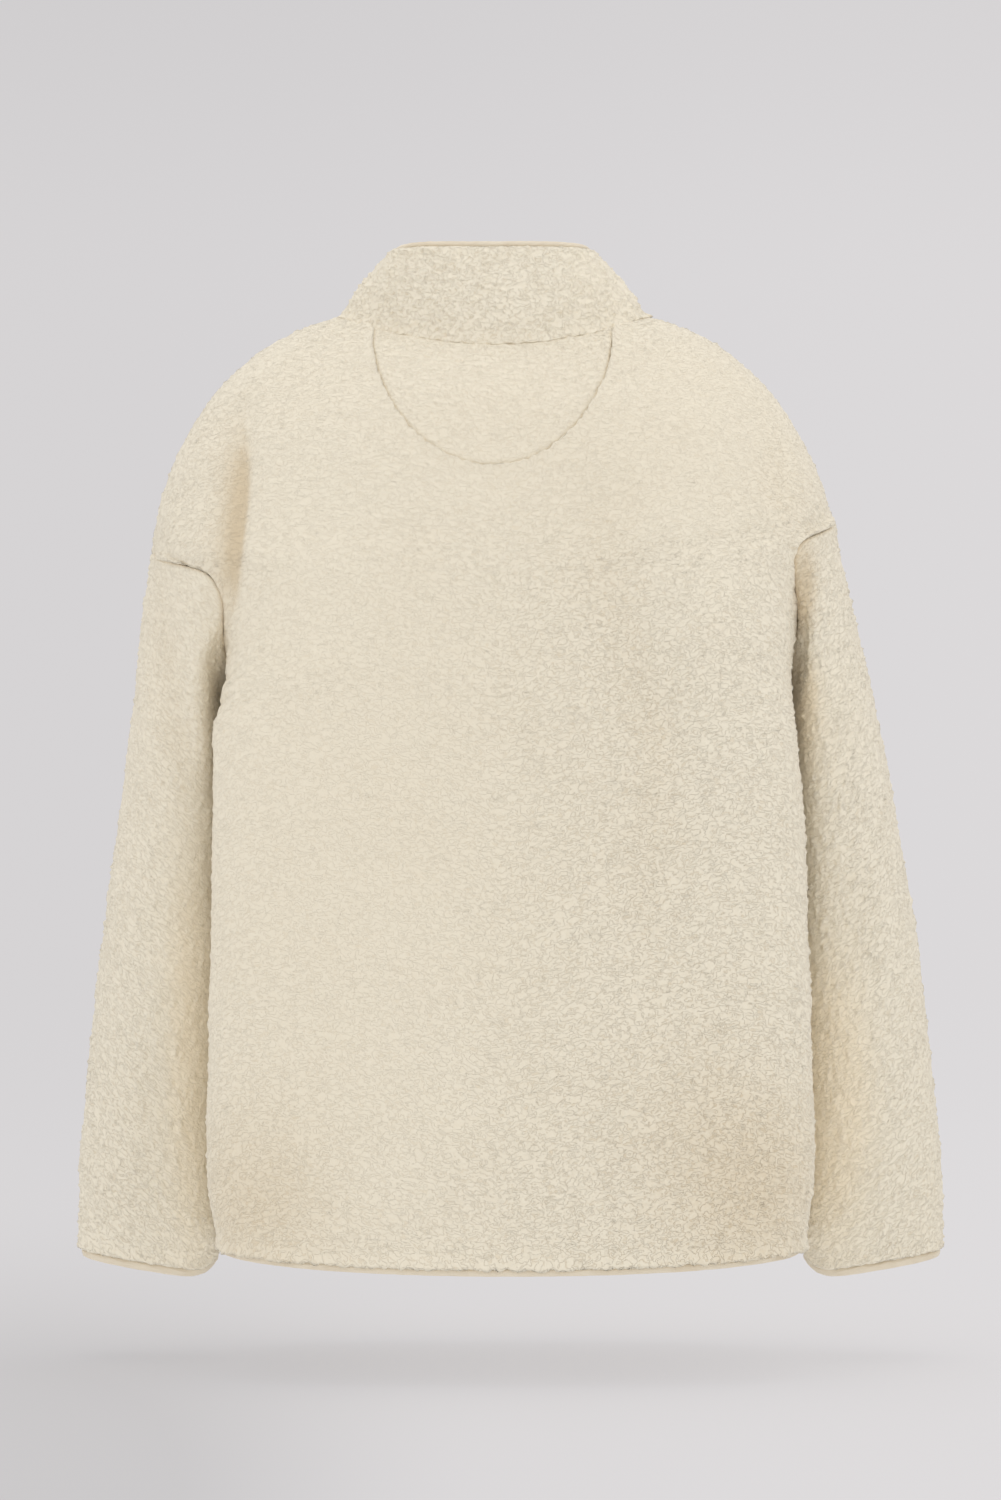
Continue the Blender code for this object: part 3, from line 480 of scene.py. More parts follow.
def put(name: str, data: Any) -> Object:
    """Adds an object to the scene."""
    obj = bpy.data.objects.new(name, data)
    bpy.context.scene.collection.objects.link(obj)
    return obj


def mesh_from(bm: BMesh, name: str) -> Mesh:
    """A mesh of what was made, which is used up here."""
    mesh = bpy.data.meshes.new(name)
    bm.to_mesh(mesh)
    bm.free()
    return mesh


def merged_copy(node: str) -> BMesh:
    """A copy of a solid of the frame, in one skin of triangles."""
    bm = bmesh.new()
    bm.from_mesh(bpy.data.objects[node].data)
    bmesh.ops.remove_doubles(bm, verts=bm.verts[:], dist=MERGE_DISTANCE)
    bm.faces.ensure_lookup_table()
    return bm


def join_to_quads(bm: BMesh) -> None:
    """Joins a skin's triangles in pairs, across their longest edges first."""
    longest = {face: max(face.edges, key=lambda edge: edge.calc_length()) for face in bm.faces}
    diagonals = [edge for edge in bm.edges if len(edge.link_faces) == 2
                 and all(longest[face] is edge for face in edge.link_faces)
                 and edge.calc_face_angle() < FLAT_TURN]
    bmesh.ops.dissolve_edges(bm, edges=diagonals, use_verts=False)
    bmesh.ops.join_triangles(bm, faces=[f for f in bm.faces if len(f.verts) == 3],
                             angle_face_threshold=QUAD_TURN, angle_shape_threshold=math.pi)


def patches(faces: Iterable[BMFace]) -> list[set[BMFace]]:
    """Sorts faces into groups that join edge to edge."""
    left = set(faces)
    groups = []
    while left:
        waiting = [left.pop()]
        group = set(waiting)
        while waiting:
            for edge in waiting.pop().edges:
                reached = left.intersection(edge.link_faces)
                left -= reached
                group |= reached
                waiting.extend(reached)
        groups.append(group)
    return groups


def kept(bm: BMesh, wanted: Iterable[int]) -> Mesh:
    """A mesh of some of the faces, given by number."""
    part = bm.copy()
    part.faces.ensure_lookup_table()
    wanted = set(wanted)
    bmesh.ops.delete(part, geom=[f for f in part.faces if f.index not in wanted],
                     context="FACES")
    join_to_quads(part)
    return mesh_from(part, "side")


def points_of(mesh: Mesh) -> Array:
    """Places of a mesh's vertices, one row each."""
    found = np.empty(len(mesh.vertices) * 3)
    mesh.vertices.foreach_get("co", found)
    return found.reshape(-1, 3)


def set_points(mesh: Mesh, points: Array) -> None:
    """Moves a mesh's vertices."""
    mesh.vertices.foreach_set("co", points.ravel())
    mesh.update()


def normals_of(mesh: Mesh) -> Array:
    """Smooth normals of a mesh's vertices, one row each."""
    found = np.empty(len(mesh.vertices) * 3)
    mesh.vertex_normals.foreach_get("vector", found)
    return found.reshape(-1, 3)


def soften(bm: BMesh, verts: list[BMVert], factors: Iterable[float]) -> None:
    """Smooths vertices once with each factor."""
    for factor in factors:
        bmesh.ops.smooth_vert(bm, verts=verts, factor=factor, use_axis_x=True,
                              use_axis_y=True, use_axis_z=True)


def refined(mesh: Mesh, levels: int, splits: int = 0) -> Mesh:
    """A smooth skin through the vertices of a coarse one.

    Args:
        mesh: The coarse mesh, used up here.
        levels: How often each face is split in four.
        splits: Cuts across each edge of the smooth skin.

    Returns:
        The smooth mesh.
    """
    obj = put("coarse", mesh)
    smooth = obj.modifiers.new("smooth", "SUBSURF")
    smooth.levels = smooth.render_levels = levels
    smooth.boundary_smooth = "PRESERVE_CORNERS"
    wanted = points_of(mesh)
    for _ in range(CORRECTION_ROUNDS):
        graph = bpy.context.evaluated_depsgraph_get()
        reached = points_of(obj.evaluated_get(graph).data)[:len(wanted)]
        set_points(mesh, points_of(mesh) + wanted - reached)
    graph = bpy.context.evaluated_depsgraph_get()
    fine = bpy.data.meshes.new_from_object(obj.evaluated_get(graph))
    bpy.data.objects.remove(obj)
    bpy.data.meshes.remove(mesh)
    bm = bmesh.new()
    bm.from_mesh(fine)
    bmesh.ops.subdivide_edges(bm, edges=bm.edges[:], cuts=splits, use_grid_fill=True, smooth=1.0)
    soften(bm, [vert for vert in bm.verts if not vert.is_boundary],
           (RELAX_FACTOR,) * RELAX_ROUNDS)
    bm.to_mesh(fine)
    bm.free()
    return fine


def calmed(mesh: Mesh, low: float, high: float) -> Mesh:
    """Smooths a coarse skin between two heights, and leaves its edges as they are."""
    bm = bmesh.new()
    bm.from_mesh(mesh)
    band = [vert for vert in bm.verts if not vert.is_boundary and low < vert.co.z < high]
    soften(bm, band, CALM_FACTORS * CALM_ROUNDS)
    bm.to_mesh(mesh)
    bm.free()
    return mesh


def boundary_of(mesh: Mesh) -> Array:
    """Numbers of the vertices on a mesh's open edges."""
    bm = bmesh.new()
    bm.from_mesh(mesh)
    found = [vert.index for vert in bm.verts if vert.is_boundary]
    bm.free()
    return np.array(found)


def nearest(points: Array, targets: Array) -> tuple[Array, Array]:
    """Each point's distance to the nearest target, and that target's number."""
    tree = KDTree(len(targets))
    for number, target in enumerate(targets):
        tree.insert(target, number)
    tree.balance()
    found = [tree.find(point) for point in points]
    return np.array([hit[2] for hit in found]), np.array([hit[1] for hit in found])


def bell(gaps: Array, width: float) -> Array:
    """A soft hump over the gaps, 1 at a gap of nothing."""
    return np.exp(-(gaps / width) ** 2)


def noise_at(points: Array, sizes: Sequence[float], seed: float) -> Array:
    """Soft noise from about -1 to 1, with cells of these sizes along the axes."""
    placed = points / np.array(sizes) + seed
    return np.array([noise.noise(Vector(point)) for point in placed])


def open_rings(bm: BMesh) -> list[list[BMVert]]:
    """The vertices along each open edge of a mesh, in the order in which its faces run."""
    after = {loop.vert: loop.link_loop_next.vert for edge in bm.edges if edge.is_boundary
             for loop in edge.link_loops}
    rings = []
    while after:
        vert = next(iter(after))
        ring = []
        while vert in after:
            ring.append(vert)
            vert = after.pop(vert)
        rings.append(ring)
    return rings


def sew(bm: BMesh, outside: list[BMVert], inside: list[BMVert]) -> None:
    """Closes the gap between two open edges with as many vertices each.

    Args:
        bm: The mesh.
        outside: One edge's vertices, in the order of its faces.
        inside: The other edge's vertices, in the order of its faces, which is the other way.
    """
    inside = inside[::-1]
    first = np.array([vert.co for vert in outside])
    second = np.array([vert.co for vert in inside])
    match = [float((first * np.roll(second, -turn, axis=0)).sum()) for turn in range(len(inside))]
    turn = int(np.argmax(match))
    inside = inside[turn:] + inside[:turn]
    for number in range(len(outside)):
        bm.faces.new((outside[number], outside[number - 1], inside[number - 1], inside[number]))


def shown(mesh: Mesh, name: str, material: Material,
          nodes: Sequence[str]) -> Object:
    """Puts a finished mesh in the scene in place of its solids.

    Args:
        mesh: The mesh, in the frame's place.
        name: The piece's name.
        material: Its finish.
        nodes: The solids that it stands for.

    Returns:
        The new object.
    """
    mesh.name = name
    mesh.materials.clear()
    mesh.materials.append(material)
    mesh.polygons.foreach_set("use_smooth", np.ones(len(mesh.polygons), bool))
    obj = put(name, mesh)
    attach(obj, GARMENT)
    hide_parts(*nodes)
    LOG.info("%s: %d triangles", name, sum(len(face.vertices) - 2 for face in mesh.polygons))
    return obj


# ---- fleece


@dataclass(frozen=True)
class Crease:
    """A soft trough or ridge pressed into the cloth, seen square on, with painted shade beside it.
    """

    line: tuple[Span, ...]  # x and z of its points
    width: float
    depth: float  # negative for a trough
    shade: float  # painted shade: how much darker the pile is coloured in it
    spread: Span  # reach of the painted shade to -X and to +X

    def nearness(self, points: Array) -> tuple[Array, Array, Array]:
        """Where each point lies beside the line.

        Args:
            points: One place a row.

        Returns:
            The distances from the line, the offsets in X and the taper towards its ends.
        """
        flat = points[:, [0, 2]]
        line = np.array(self.line)
        sizes = np.linalg.norm(np.diff(line, axis=0), axis=1)
        done = 0.0
        best = np.full(len(points), np.inf)
        aside, along = np.zeros(len(points)), np.zeros(len(points))
        for start, end, size in zip(line, line[1:], sizes):
            share = np.clip((flat - start) @ (end - start) / size ** 2, 0, 1)
            off = flat - start - share[:, None] * (end - start)
            gap = np.linalg.norm(off, axis=1)
            nearer = gap < best
            best = np.where(nearer, gap, best)
            aside = np.where(nearer, off[:, 0], aside)
            along = np.where(nearer, (done + share * size) / sizes.sum(), along)
            done += size
        return best, aside, np.sin(np.pi * np.clip(along, TAPER_END, 1 - TAPER_END)) ** 0.5

    def shift(self, points: Array) -> Array:
        """How far each point moves outwards."""
        gap, _, taper = self.nearness(points)
        return self.depth * taper * bell(gap, self.width)

    def tone(self, points: Array) -> Array:
        """How much painted shade each point gets."""
        gap, aside, taper = self.nearness(points)
        reach = np.where(aside < 0, self.spread[0], self.spread[1])
        return self.shade * taper * np.exp(-(gap / reach) ** SHADE_EDGE)


@dataclass(frozen=True)
class PaintedShading:
    """A soft patch of painted shade, or of painted warm light where its amount is negative."""

    place: Span  # x and z
    reach: Span
    amount: float  # negative for painted light, which is also warmer

    def tone(self, points: Array) -> Array:
        """How much painted shade each point gets; below nothing, painted light."""
        off = (points[:, [0, 2]] - np.array(self.place)) / np.array(self.reach)
        return self.amount * np.exp(-(off ** 2).sum(axis=1))


@dataclass(frozen=True)
class Pile:
    """Sizes of the pile and of what the sewing does to it."""

    clump: Triple = (0.0085, 0.0085, 0.0056)
    clump_height: float = 0.00045
    curl: Triple = (0.0044, 0.0044, 0.0034)
    curl_height: float = 0.00045
    spike: float = 0.0034
    spike_height: float = 0.0026
    spike_point: float = 1.5
    fluff: float = 1.25  # share of those heights where nothing is brushed
    matted_drop: float = 0.62  # share that brushing takes away
    wave: Triple = (0.060, 0.060, 0.045)
    wave_height: float = 0.0012
    groove_depth: float = 0.0008
    groove_width: float = 0.0017
    groove_calm: float = 0.7  # share of the relief that a sunk seam takes away
    lip_at: float = 0.0050  # gap from the seam
    lip_width: float = 0.0032
    lip_height: float = 0.0005
    lap_rise: float = 0.0021  # of the pile that laps over a seam
    lap_reach: float = 0.0040
    full_lap: float = 0.0020  # a lap that rises fully
    tuft: float = 0.0042
    tuft_spread: Span = (0.85, 0.6)  # how far the tufts lap, and how unevenly
    zip_roll: float = 0.0011

    def ragged(self, points: Array) -> Array:
        """How far each point of a lapping edge reaches, around 1."""
        return self.tuft_spread[0] + self.tuft_spread[1] * noise_at(
            points, (self.tuft,) * 3, TUFT_SEED)

    def relief(self, points: Array, places: Array, matted: Array) -> Array:
        """Height of the relief at points of the frame, which are at these cloth places."""
        spikes = np.clip(noise_at(points, (self.spike,) * 3, SPIKE_SEED), 0, 1)
        curls = (self.clump_height * noise_at(places, self.clump, CLUMP_SEED)
                 + self.curl_height * noise_at(places, self.curl, CURL_SEED)
                 + self.spike_height * spikes ** self.spike_point)
        waves = self.wave_height * noise_at(points, self.wave, WAVE_SEED)
        return curls * (self.fluff - self.matted_drop * matted) + waves


@dataclass(frozen=True)
class FleecePiece:
    """One cut piece of fleece, built on its solid."""

    node: str
    hollow: Triple  # a point in the hollow beside it
    towards: Triple  # the way from there to its inner side
    levels: int
    flat: Span
    area: float
    drift: Span  # how its drop reads in x and y on a slope
    creases: tuple[Crease, ...] = ()
    laps: dict[str, float] = field(default_factory=dict)  # over its neighbours, by name
    # spots of painted shade and painted light
    painted_spots: tuple[PaintedShading, ...] = ()
    pile: Pile = Pile()
    splits: int = 0
    calm: Span = (0.0, 0.0)  # heights between which its skins are smoothed

    def is_cut(self, face: BMFace, trees: Trees) -> bool:
        """Whether a face belongs to the cut edge, next to another piece or to the slit."""
        middle = face.calc_center_median()
        if middle.y < 0 and abs(middle.x) < SLIT_REACH and abs(face.normal.y) < 1 - FACING:
            return True
        hits = (tree.find_nearest(middle, SEAM_REACH) for name, tree in trees.items()
                if name != self.node)
        return any(hit[1] is not None and hit[1].dot(face.normal) < -FACING for hit in hits)

    def sides(self, solid: BMesh, trees: Trees) -> tuple[list[int], list[int]]:
        """Numbers of the solid's outer faces and of its inner ones."""
        hit = BVHTree.FromBMesh(solid).ray_cast(Vector(self.hollow), Vector(self.towards))
        broad = patches(face for face in solid.faces if not self.is_cut(face, trees))
        first, second = sorted(broad, key=len)[-2:]
        inner, outer = (first, second) if solid.faces[hit[2]] in first else (second, first)
        return [face.index for face in outer], [face.index for face in inner]

    def neighbours(self, edge: Array, trees: Trees) -> Array:
        """Name of the piece that each point of the edge is sewn to, or nothing."""
        names = []
        for point in edge:
            hits = {name: tree.find_nearest(Vector(point), TOUCHING)[3]
                    for name, tree in trees.items() if name != self.node}
            near = {name: gap for name, gap in hits.items() if gap is not None}
            names.append(min(near, key=near.get) if near else "")
        return np.array(names)

    def cloth_places(self, points: Array) -> Array:
        """Places on the cloth, with the drop measured down slopes as well."""
        places = points.copy()
        places[:, 2] -= self.drift[0] * np.abs(points[:, 0]) + self.drift[1] * points[:, 1]
        return places

    def raised(self, mesh: Mesh, trees: Trees) -> dict[str, Array]:
        """Raises the pile on the outer skin, sinks its seams and rolls its edges.

        Args:
            mesh: The smooth outer skin, changed here.
            trees: Search trees of the solids, by name.

        Returns:
            The pile's attributes, one value a vertex.
        """
        pile = self.pile
        points, normals = points_of(mesh), normals_of(mesh)
        rearward = np.clip(normals[:, 1] * REAR_SLOPE, 0, 1)
        places = self.cloth_places(points)
        edge = boundary_of(mesh)
        sewn_to = self.neighbours(points[edge], trees)
        matted = matting(points)
        lift = pile.relief(points, places, matted)
        for crease in self.creases:
            lift += crease.shift(points) * rearward
        groove = np.zeros(len(points))
        slide = np.zeros_like(points)
        for name in sorted(set(sewn_to)):
            line = points[edge[sewn_to == name]]
            gap, which = nearest(points, line)
            if name in self.laps:
                reach = bell(gap, pile.lap_reach) * pile.ragged(points)
                away = line[which] - points
                length = np.maximum(np.linalg.norm(away, axis=1), NO_LENGTH)
                slide += away * (reach * self.laps[name] / length)[:, None]
                lift += reach * pile.lap_rise * min(1.0, self.laps[name] / pile.full_lap)
            elif name in FLEECE_NODES:
                sunk = bell(gap, pile.groove_width)
                lift *= 1 - pile.groove_calm * sunk
                lift -= pile.groove_depth * sunk
                lift += pile.lip_height * bell(gap - pile.lip_at, pile.lip_width)
                # the sunk seam, which the material colours with painted shade
                groove = np.maximum(groove, sunk)
            elif name:
                lift -= pile.zip_roll * bell(gap, pile.groove_width)
        slide[edge] = self.edge_slide(mesh, points, edge, sewn_to)
        set_points(mesh, points + normals * lift[:, None] + slide)
        # painted shade and painted light of the spots and beside the creases, fading as the cloth
        # turns aside
        nap = sum((patch.tone(points) for patch in self.painted_spots + self.creases),
                  np.zeros(len(points))) * rearward
        return {"pile": np.ones(len(points)), "groove": groove, "matted": matted,
                "nap": nap, "places": places}

    def edge_slide(self, mesh: Mesh, points: Array, edge: Array,
                   sewn_to: Array) -> Array:
        """How far the outermost pile leans over its neighbour, for each edge vertex."""
        bm = bmesh.new()
        bm.from_mesh(mesh)
        bm.verts.ensure_lookup_table()
        ragged = self.pile.ragged(points[edge])
        slides = np.zeros((len(edge), 3))
        for row, (number, name, amount) in enumerate(zip(edge, sewn_to, ragged)):
            if name in self.laps:
                vert = bm.verts[number]
                inside = [e.other_vert(vert).co for e in vert.link_edges if not e.is_boundary]
                if inside:
                    away = vert.co - sum(inside, Vector()) / len(inside)
                    slides[row] = away.normalized() * self.laps[name] * amount
        bm.free()
        return slides

    def build(self, material: Material, trees: Trees,
              trims: Sequence[Object]) -> Object:
        """Builds the piece.

        Args:
            material: The fleece's finish.
            trees: Search trees of the solids, by name.
            trims: The separate pieces sewn on it; not used.

        Returns:
            The finished piece.
        """
        solid = merged_copy(self.node)
        outer_faces, inner_faces = self.sides(solid, trees)
        outer, inner = (calmed(kept(solid, faces), *self.calm)
                        for faces in (outer_faces, inner_faces))
        solid.free()
        outer = refined(outer, self.levels, self.splits)
        values = self.raised(outer, trees)
        mesh = closed_shell(outer, inner)
        inside = points_of(mesh)[len(values["places"]):]
        values["places"] = np.concatenate([values["places"], self.cloth_places(inside)])
        for name in ("pile", "groove", "matted", "nap"):
            attribute = mesh.attributes.new(name, "FLOAT", "POINT")
            data = np.zeros(len(mesh.vertices), np.float32)
            data[:len(values[name])] = values[name]
            attribute.data.foreach_set("value", data)
        attribute = mesh.attributes.new("cloth", "FLOAT_VECTOR", "POINT")
        attribute.data.foreach_set("vector", values["places"].astype(np.float32).ravel())
        obj = shown(mesh, f"fleece_{self.node}", material, [self.node])
        return obj


def matting(points: Array) -> Array:
    """How flat the pile lies, from 0 where it is fluffy to 1 where it is brushed down."""
    loose = np.ones(len(points))
    for centre, reach in MATTED:
        off = (points[:, [0, 2]] - np.array(centre)) / np.array(reach)
        loose *= 1 - np.exp(-(off ** 2).sum(axis=1) ** MATTED_EDGE)
    below_collar = np.clip(-points[:, 2] / COLLAR_FADE, 0, 1)
    return (1 - loose) * below_collar * (points[:, 1] > 0)


def closed_shell(outer: Mesh, inner: Mesh) -> Mesh:
    """Joins the outer and inner skins at their edges.

    Args:
        outer: The outer skin, whose vertices come first in the result.
        inner: The inner skin, facing into the hollow.

    Returns:
        The closed mesh.
    """
    bm = bmesh.new()
    bm.from_mesh(outer)
    count = len(bm.verts)
    bm.from_mesh(inner)
    open_edges = [edge for edge in bm.edges if edge.is_boundary]
    bm.verts.index_update()
    inner_edges = [edge for edge in open_edges if edge.verts[0].index >= count]
    cuts = round((len(open_edges) - len(inner_edges)) / len(inner_edges)) - 1
    bmesh.ops.subdivide_edges(bm, edges=inner_edges, cuts=cuts)
    bm.verts.index_update()
    rings = open_rings(bm)
    inside = [ring for ring in rings if ring[0].index >= count]
    for ring in rings:
        if ring[0].index < count:
            middle = middle_of(ring)
            sew(bm, ring, min(inside, key=lambda other: (middle_of(other) - middle).length))
    LOG.info("open edges left: %d", sum(edge.is_boundary for edge in bm.edges))
    return mesh_from(bm, "shell")


def middle_of(ring: Sequence[BMVert]) -> Vector:
    """Mean place of a ring's vertices."""
    return sum((vert.co for vert in ring), Vector()) / len(ring)


# ---- bindings and zip


@dataclass(frozen=True)
class EdgeBinding:
    """Smooth stretch binding on an edge of the cloth."""

    node: str
    levels: int = 2
    slim: float = 0.0006  # how far it lies inside its solid, so that the pile laps it
    ripple: Triple = (0.006, 0.006, 0.004)
    ripple_height: float = 0.00025

    def build(self, material: Material) -> Object:
        """Builds the binding on its solid."""
        mesh = refined(mesh_from(merged_copy(self.node), self.node), self.levels)
        points, normals = points_of(mesh), normals_of(mesh)
        ripple = self.ripple_height * noise_at(points, self.ripple, RIPPLE_SEED)
        set_points(mesh, points + normals * (ripple - self.slim)[:, None])
        return shown(mesh, f"jersey_{self.node}", material, [self.node])


@dataclass(frozen=True)
class HalfZip:
    """Closed teeth, tapes, slider and pull tab of the half zip."""

    pitch: float = 0.0026
    tooth_width: float = 0.0034
    tooth_height: float = 0.00128
    tooth_depth: float = 0.0022
    stagger: float = 0.0010
    bevel: float = 0.0003
    section: int = 8  # corners of the chain's section

    def stations(self) -> tuple[Array, Array]:
        """Middle and outward way of the chain at each of its sections, from the foot up."""
        solid = merged_copy("zip_chain")
        places = sorted((np.array(vert.co) for vert in solid.verts), key=lambda place: place[2])
        solid.free()
        middles = np.array(places).reshape(-1, self.section, 3).mean(axis=1)
        ways = np.gradient(middles, axis=0)
        outs = np.cross(ways, (-1.0, 0.0, 0.0))
        return middles, outs / np.linalg.norm(outs, axis=1)[:, None]

    def build_teeth(self, material: Material) -> Object:
        """Builds the closed row of teeth."""
        middles, outs = self.stations()
        length = np.concatenate([[0], np.cumsum(np.linalg.norm(np.diff(middles, axis=0), axis=1))])
        bm = bmesh.new()
        for number, at in enumerate(np.arange(self.pitch / 2, length[-1], self.pitch / 2)):
            place = Vector([np.interp(at, length, middles[:, k]) for k in range(3)])
            out = Vector([np.interp(at, length, outs[:, k]) for k in range(3)]).normalized()
            side = 1 if number % 2 else -1
            down = Vector((1, 0, 0)).cross(out)
            turn = Matrix((Vector((1, 0, 0)), out, down)).transposed().to_4x4()
            size = Matrix.Diagonal((self.tooth_width, self.tooth_depth, self.tooth_height, 1.0))
            shift = Matrix.Translation(place + Vector((side * self.stagger, 0, 0)))
            bmesh.ops.create_cube(bm, size=1.0, matrix=shift @ turn @ size)
        bmesh.ops.bevel(bm, geom=bm.edges[:], offset=self.bevel, affect="EDGES",
                        segments=1, profile=0.5, material=-1)
        bmesh.ops.recalc_face_normals(bm, faces=bm.faces[:])
        return shown(mesh_from(bm, "teeth"), "zip_teeth_row", material,
                     ["zip_chain"])

    def build(self, tape: Material, metal: Material, teeth: Material) -> list[Object]:
        """Dresses the zip's solids, adds its teeth and returns its pieces."""
        pieces = []
        for name, material in (("zip_tape_left", tape), ("zip_tape_right", tape),
                               ("zip_slider", metal), ("zip_pull", metal)):
            obj = bpy.data.objects[name]
            obj.material_slots[0].material = material
            pieces.append(obj)
        pieces.append(self.build_teeth(teeth))
        return pieces


# ---- studio


@dataclass(frozen=True)
class SoftLight:
    """A large square light that points at the garment."""

    name: str
    place: Triple
    side: float
    watts: float
    beam: float = math.pi


@dataclass(frozen=True)
class Studio:
    """Camera, soft lights and the seamless pale room."""

    camera_distance: float = 3.6
    camera_height: float = -0.315
    focal_pixels: float = 4931.0
    floor_height: float = -0.762
    floor_rings: Triple = (0.0, 1.0, 2.5)  # radii at which the flat floor is divided
    room_radius: float = 9.0
    room_bend: float = 3.0
    room_height: float = 7.0
    bend_steps: int = 12
    turn_steps: int = 72
    aim: Triple = (0.0, 0.0, -0.33)
    world: Colour = (1.0, 0.995, 1.0)
    world_strength: float = 0.875
    lights: tuple[SoftLight, ...] = (
        SoftLight("eye", (0.3, 3.4, 0.3), 1.5, 0.70, NARROW),
        SoftLight("front_eye", (-0.3, -3.4, 0.3), 1.5, 0.70, NARROW),
        SoftLight("left", (2.6, 0.6, -0.3), 1.4, 0.20, NARROW),
        SoftLight("right", (-2.6, 0.6, -0.3), 1.4, 0.40, NARROW),
        SoftLight("top", (0.0, 0.0, 2.9), 2.4, 18.0),
    )

    def build_camera(self) -> None:
        """Sets the camera square behind the garment."""
        data = bpy.data.cameras.new("camera")
        data.sensor_width = SENSOR_WIDTH
        data.lens = self.focal_pixels / IMAGE_LONG_SIDE * SENSOR_WIDTH
        camera = put("camera", data)
        camera.location = (0.0, self.camera_distance, self.camera_height)
        camera.rotation_euler = (math.radians(90), 0.0, math.radians(180))
        bpy.context.scene.camera = camera

    def build_room(self, material: Material) -> None:
        """Turns the floor and the wall that rises from it."""
        bm = bmesh.new()
        centre = Vector((self.room_radius - self.room_bend, 0, self.floor_height + self.room_bend))
        line = [Vector((radius, 0, self.floor_height)) for radius in self.floor_rings]
        for step in range(self.bend_steps + 1):
            angle = math.pi / 2 * step / self.bend_steps
            line.append(centre + self.room_bend * Vector((math.sin(angle), 0, -math.cos(angle))))
        line.append(Vector((self.room_radius, 0, self.floor_height + self.room_height)))
        verts = [bm.verts.new(place) for place in line]
        edges = [bm.edges.new(pair) for pair in zip(verts, verts[1:])]
        bmesh.ops.spin(bm, geom=verts + edges, cent=(0, 0, 0), axis=(0, 0, 1),
                       angle=math.tau, steps=self.turn_steps, use_merge=True)
        bmesh.ops.remove_doubles(bm, verts=bm.verts[:], dist=MERGE_DISTANCE)
        bmesh.ops.recalc_face_normals(bm, faces=bm.faces[:])
        mesh = mesh_from(bm, "room")
        mesh.polygons.foreach_set("use_smooth", np.ones(len(mesh.polygons), bool))
        mesh.materials.append(material)
        room = put("room", mesh)
        room.visible_diffuse = room.visible_shadow = False

    def build_lights(self) -> None:
        """Hangs the lights, and sets the light of the open sky above the room."""
        for light in self.lights:
            data = bpy.data.lights.new(light.name, "AREA")
            data.shape = "SQUARE"
            data.size, data.energy, data.spread = light.side, light.watts, light.beam
            lamp = put(light.name, data)
            lamp.location = light.place
            way = Vector(self.aim) - Vector(light.place)
            lamp.rotation_euler = way.to_track_quat("-Z", "Y").to_euler()
            lamp.visible_camera = False
        world = bpy.data.worlds.new("studio")
        world.use_nodes = True
        sky = world.node_tree.nodes["Background"]
        sky.inputs["Color"].default_value = (*self.world, 1.0)
        sky.inputs["Strength"].default_value = self.world_strength
        bpy.context.scene.world = world
        bpy.context.scene.view_settings.view_transform = "Standard"

    def build(self, paper: Material) -> None:
        """Builds the studio."""
        self.build_camera()
        self.build_room(paper)
        self.build_lights()


# ---- garment


BODY_BAND = (-0.200, -0.140)    # heights between which the body's skins are calmed
# troughs in the back, with painted shade beside each
BACK_CREASES = (
    Crease(((0.1825, -0.092), (0.184, -0.140), (0.190, -0.212)), 0.0060, -0.0040, 1.10,
           (0.0030, 0.014)),
    Crease(((-0.187, -0.088), (-0.205, -0.152)), 0.012, -0.0020, 0.10, (0.020, 0.012)),
    Crease(((-0.067, -0.160), (-0.088, -0.238), (-0.113, -0.308), (-0.106, -0.386),
            (-0.099, -0.456)), 0.022, -0.0015, 0.13, (0.022, 0.022)),
)
# painted shade in the back's low corners and painted warm light high up on it
BACK_PAINTED_SHADING = (
    PaintedShading((-0.180, -0.630), (0.060, 0.070), 0.42),
    PaintedShading((-0.130, -0.570), (0.075, 0.065), 0.13),
    PaintedShading((0.175, -0.635), (0.050, 0.055), 0.38),
    PaintedShading((-0.150, -0.235), (0.050, 0.110), -0.12),
    PaintedShading((0.140, -0.170), (0.070, 0.110), -0.09),
)
# a trough down the left sleeve, with painted shade beside it
SLEEVE_CREASE = Crease(((0.248, -0.186), (0.228, -0.308), (0.225, -0.424)), 0.014, -0.0015,
                       0.20, (0.012, 0.016))
# painted shade in the pocket under the armhole, and painted warm light along the sleeve's inner
# edge where it meets the body
SLEEVE_RIGHT_PAINTED_SHADING = (
    PaintedShading((-0.238, -0.570), (0.034, 0.110), -0.70),
    PaintedShading((-0.2165, -0.203), (0.009, 0.036), 0.90),
    PaintedShading((-0.214, -0.275), (0.012, 0.040), -0.60),
    PaintedShading((-0.230, -0.300), (0.050, 0.080), -0.20),
)


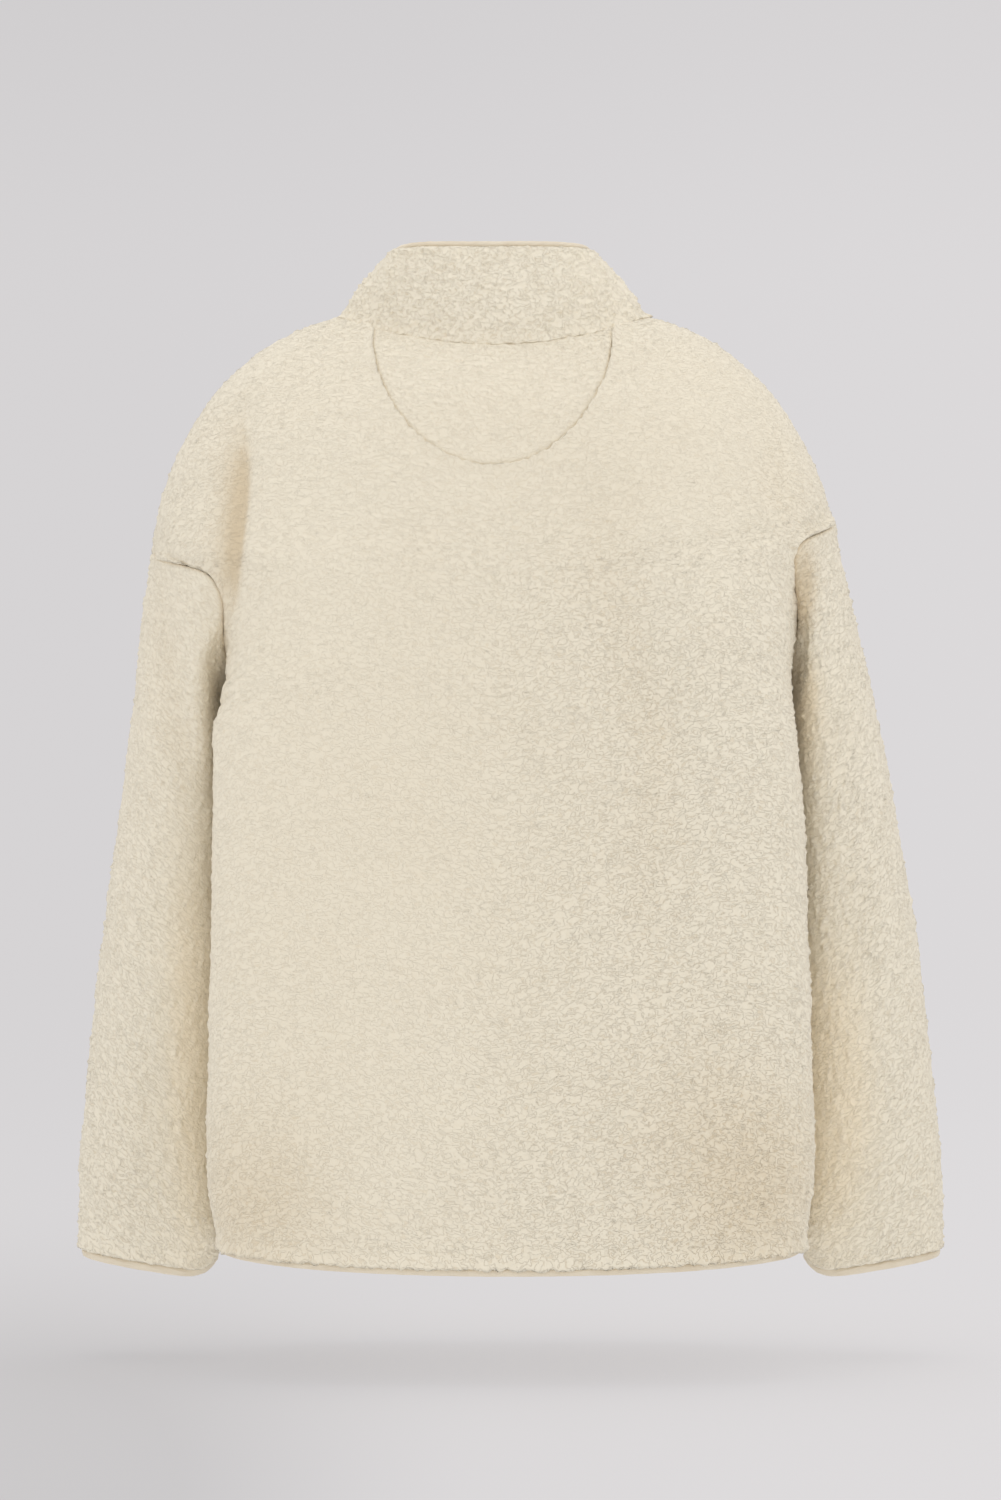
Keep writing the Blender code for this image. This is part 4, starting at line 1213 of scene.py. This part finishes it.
@dataclass(frozen=True)
class Pullover:
    """All the cut pieces of the pullover."""

    pieces: tuple[FleecePiece, ...] = (
        FleecePiece(
            "back", (0, -0.01, -0.40), (0, 1, 0), 2, (0.58, 0.72), 0.405, (0.15, 0.6),
            BACK_CREASES, {"back_neck": 0.0021, "sleeve_left": 0.0005, "sleeve_right": 0.0005,
                           "front": 0.0006, "hem_binding": 0.0034},
            BACK_PAINTED_SHADING, splits=2, calm=BODY_BAND),
        FleecePiece("back_neck", (0, 0, -0.06), (0, 1, 0), 4, (0.18, 0.12), 0.0165, (0.15, 0.6)),
        FleecePiece(
            "front", (0, -0.01, -0.40), (0, -1, 0), 2, (0.58, 0.72), 0.367, (0.15, -0.6),
            laps={"sleeve_left": 0.0005, "sleeve_right": 0.0005, "hem_binding": 0.0034},
            splits=2, calm=BODY_BAND),
        FleecePiece(
            "sleeve_left", (0.245, -0.02, -0.45), (0, 1, 0), 4, (0.40, 0.60), 0.182, (0.6, 0.0),
            (SLEEVE_CREASE,), {"cuff_binding_left": 0.0010},
            # painted warm light along the left sleeve's inner edge
            (PaintedShading((0.225, -0.520), (0.020, 0.200), -0.45),)),
        FleecePiece(
            "sleeve_right", (-0.245, -0.02, -0.45), (0, 1, 0), 4, (0.40, 0.60), 0.187, (0.6, 0.0),
            (), {"cuff_binding_right": 0.0010}, SLEEVE_RIGHT_PAINTED_SHADING),
        FleecePiece(
            "collar", (0, -0.02, 0.02), (0, 1, 0), 4, (0.46, 0.085), 0.0352, (0.0, 0.0),
            laps={"back": 0.0018, "back_neck": 0.0018, "front": 0.0018, "collar_binding": 0.0003},
            # painted light on the collar's end at -X
            painted_spots=(PaintedShading((-0.075, 0.020), (0.045, 0.060), -0.18),)),
    )
    bindings: tuple[EdgeBinding, ...] = tuple(EdgeBinding(node) for node in BINDING_NODES)
    zip: HalfZip = HalfZip()

    def build(self) -> None:
        """Builds and dresses every piece."""
        trees = {}
        for name in FLEECE_NODES + BINDING_NODES:
            solid = merged_copy(name)
            trees[name] = BVHTree.FromBMesh(solid)
            solid.free()
        sherpa = SherpaFinish().material()
        jersey = JerseyFinish().material()
        bound = {binding.node: binding.build(jersey) for binding in self.bindings}
        fastening = self.zip.build(TapeFinish().material(), MetalFinish().material(),
                                   MetalFinish("nickel_teeth", (0.60, 0.58, 0.55)).material())
        trims = {"back": [bound["hem_binding"]], "collar": [bound["collar_binding"]],
                 "sleeve_left": [bound["cuff_binding_left"]],
                 "sleeve_right": [bound["cuff_binding_right"]], "front": fastening}
        for piece in self.pieces:
            piece.build(sherpa, trees, trims.get(piece.node, ()))


def main() -> None:
    """Loads the frame, builds the pullover and its studio."""
    logging.basicConfig(level=logging.INFO, format="%(message)s")
    for obj in list(bpy.data.objects):
        bpy.data.objects.remove(obj)
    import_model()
    Pullover().build()
    Studio().build(BackdropFinish().material())


if __name__ == "__main__":
    main()
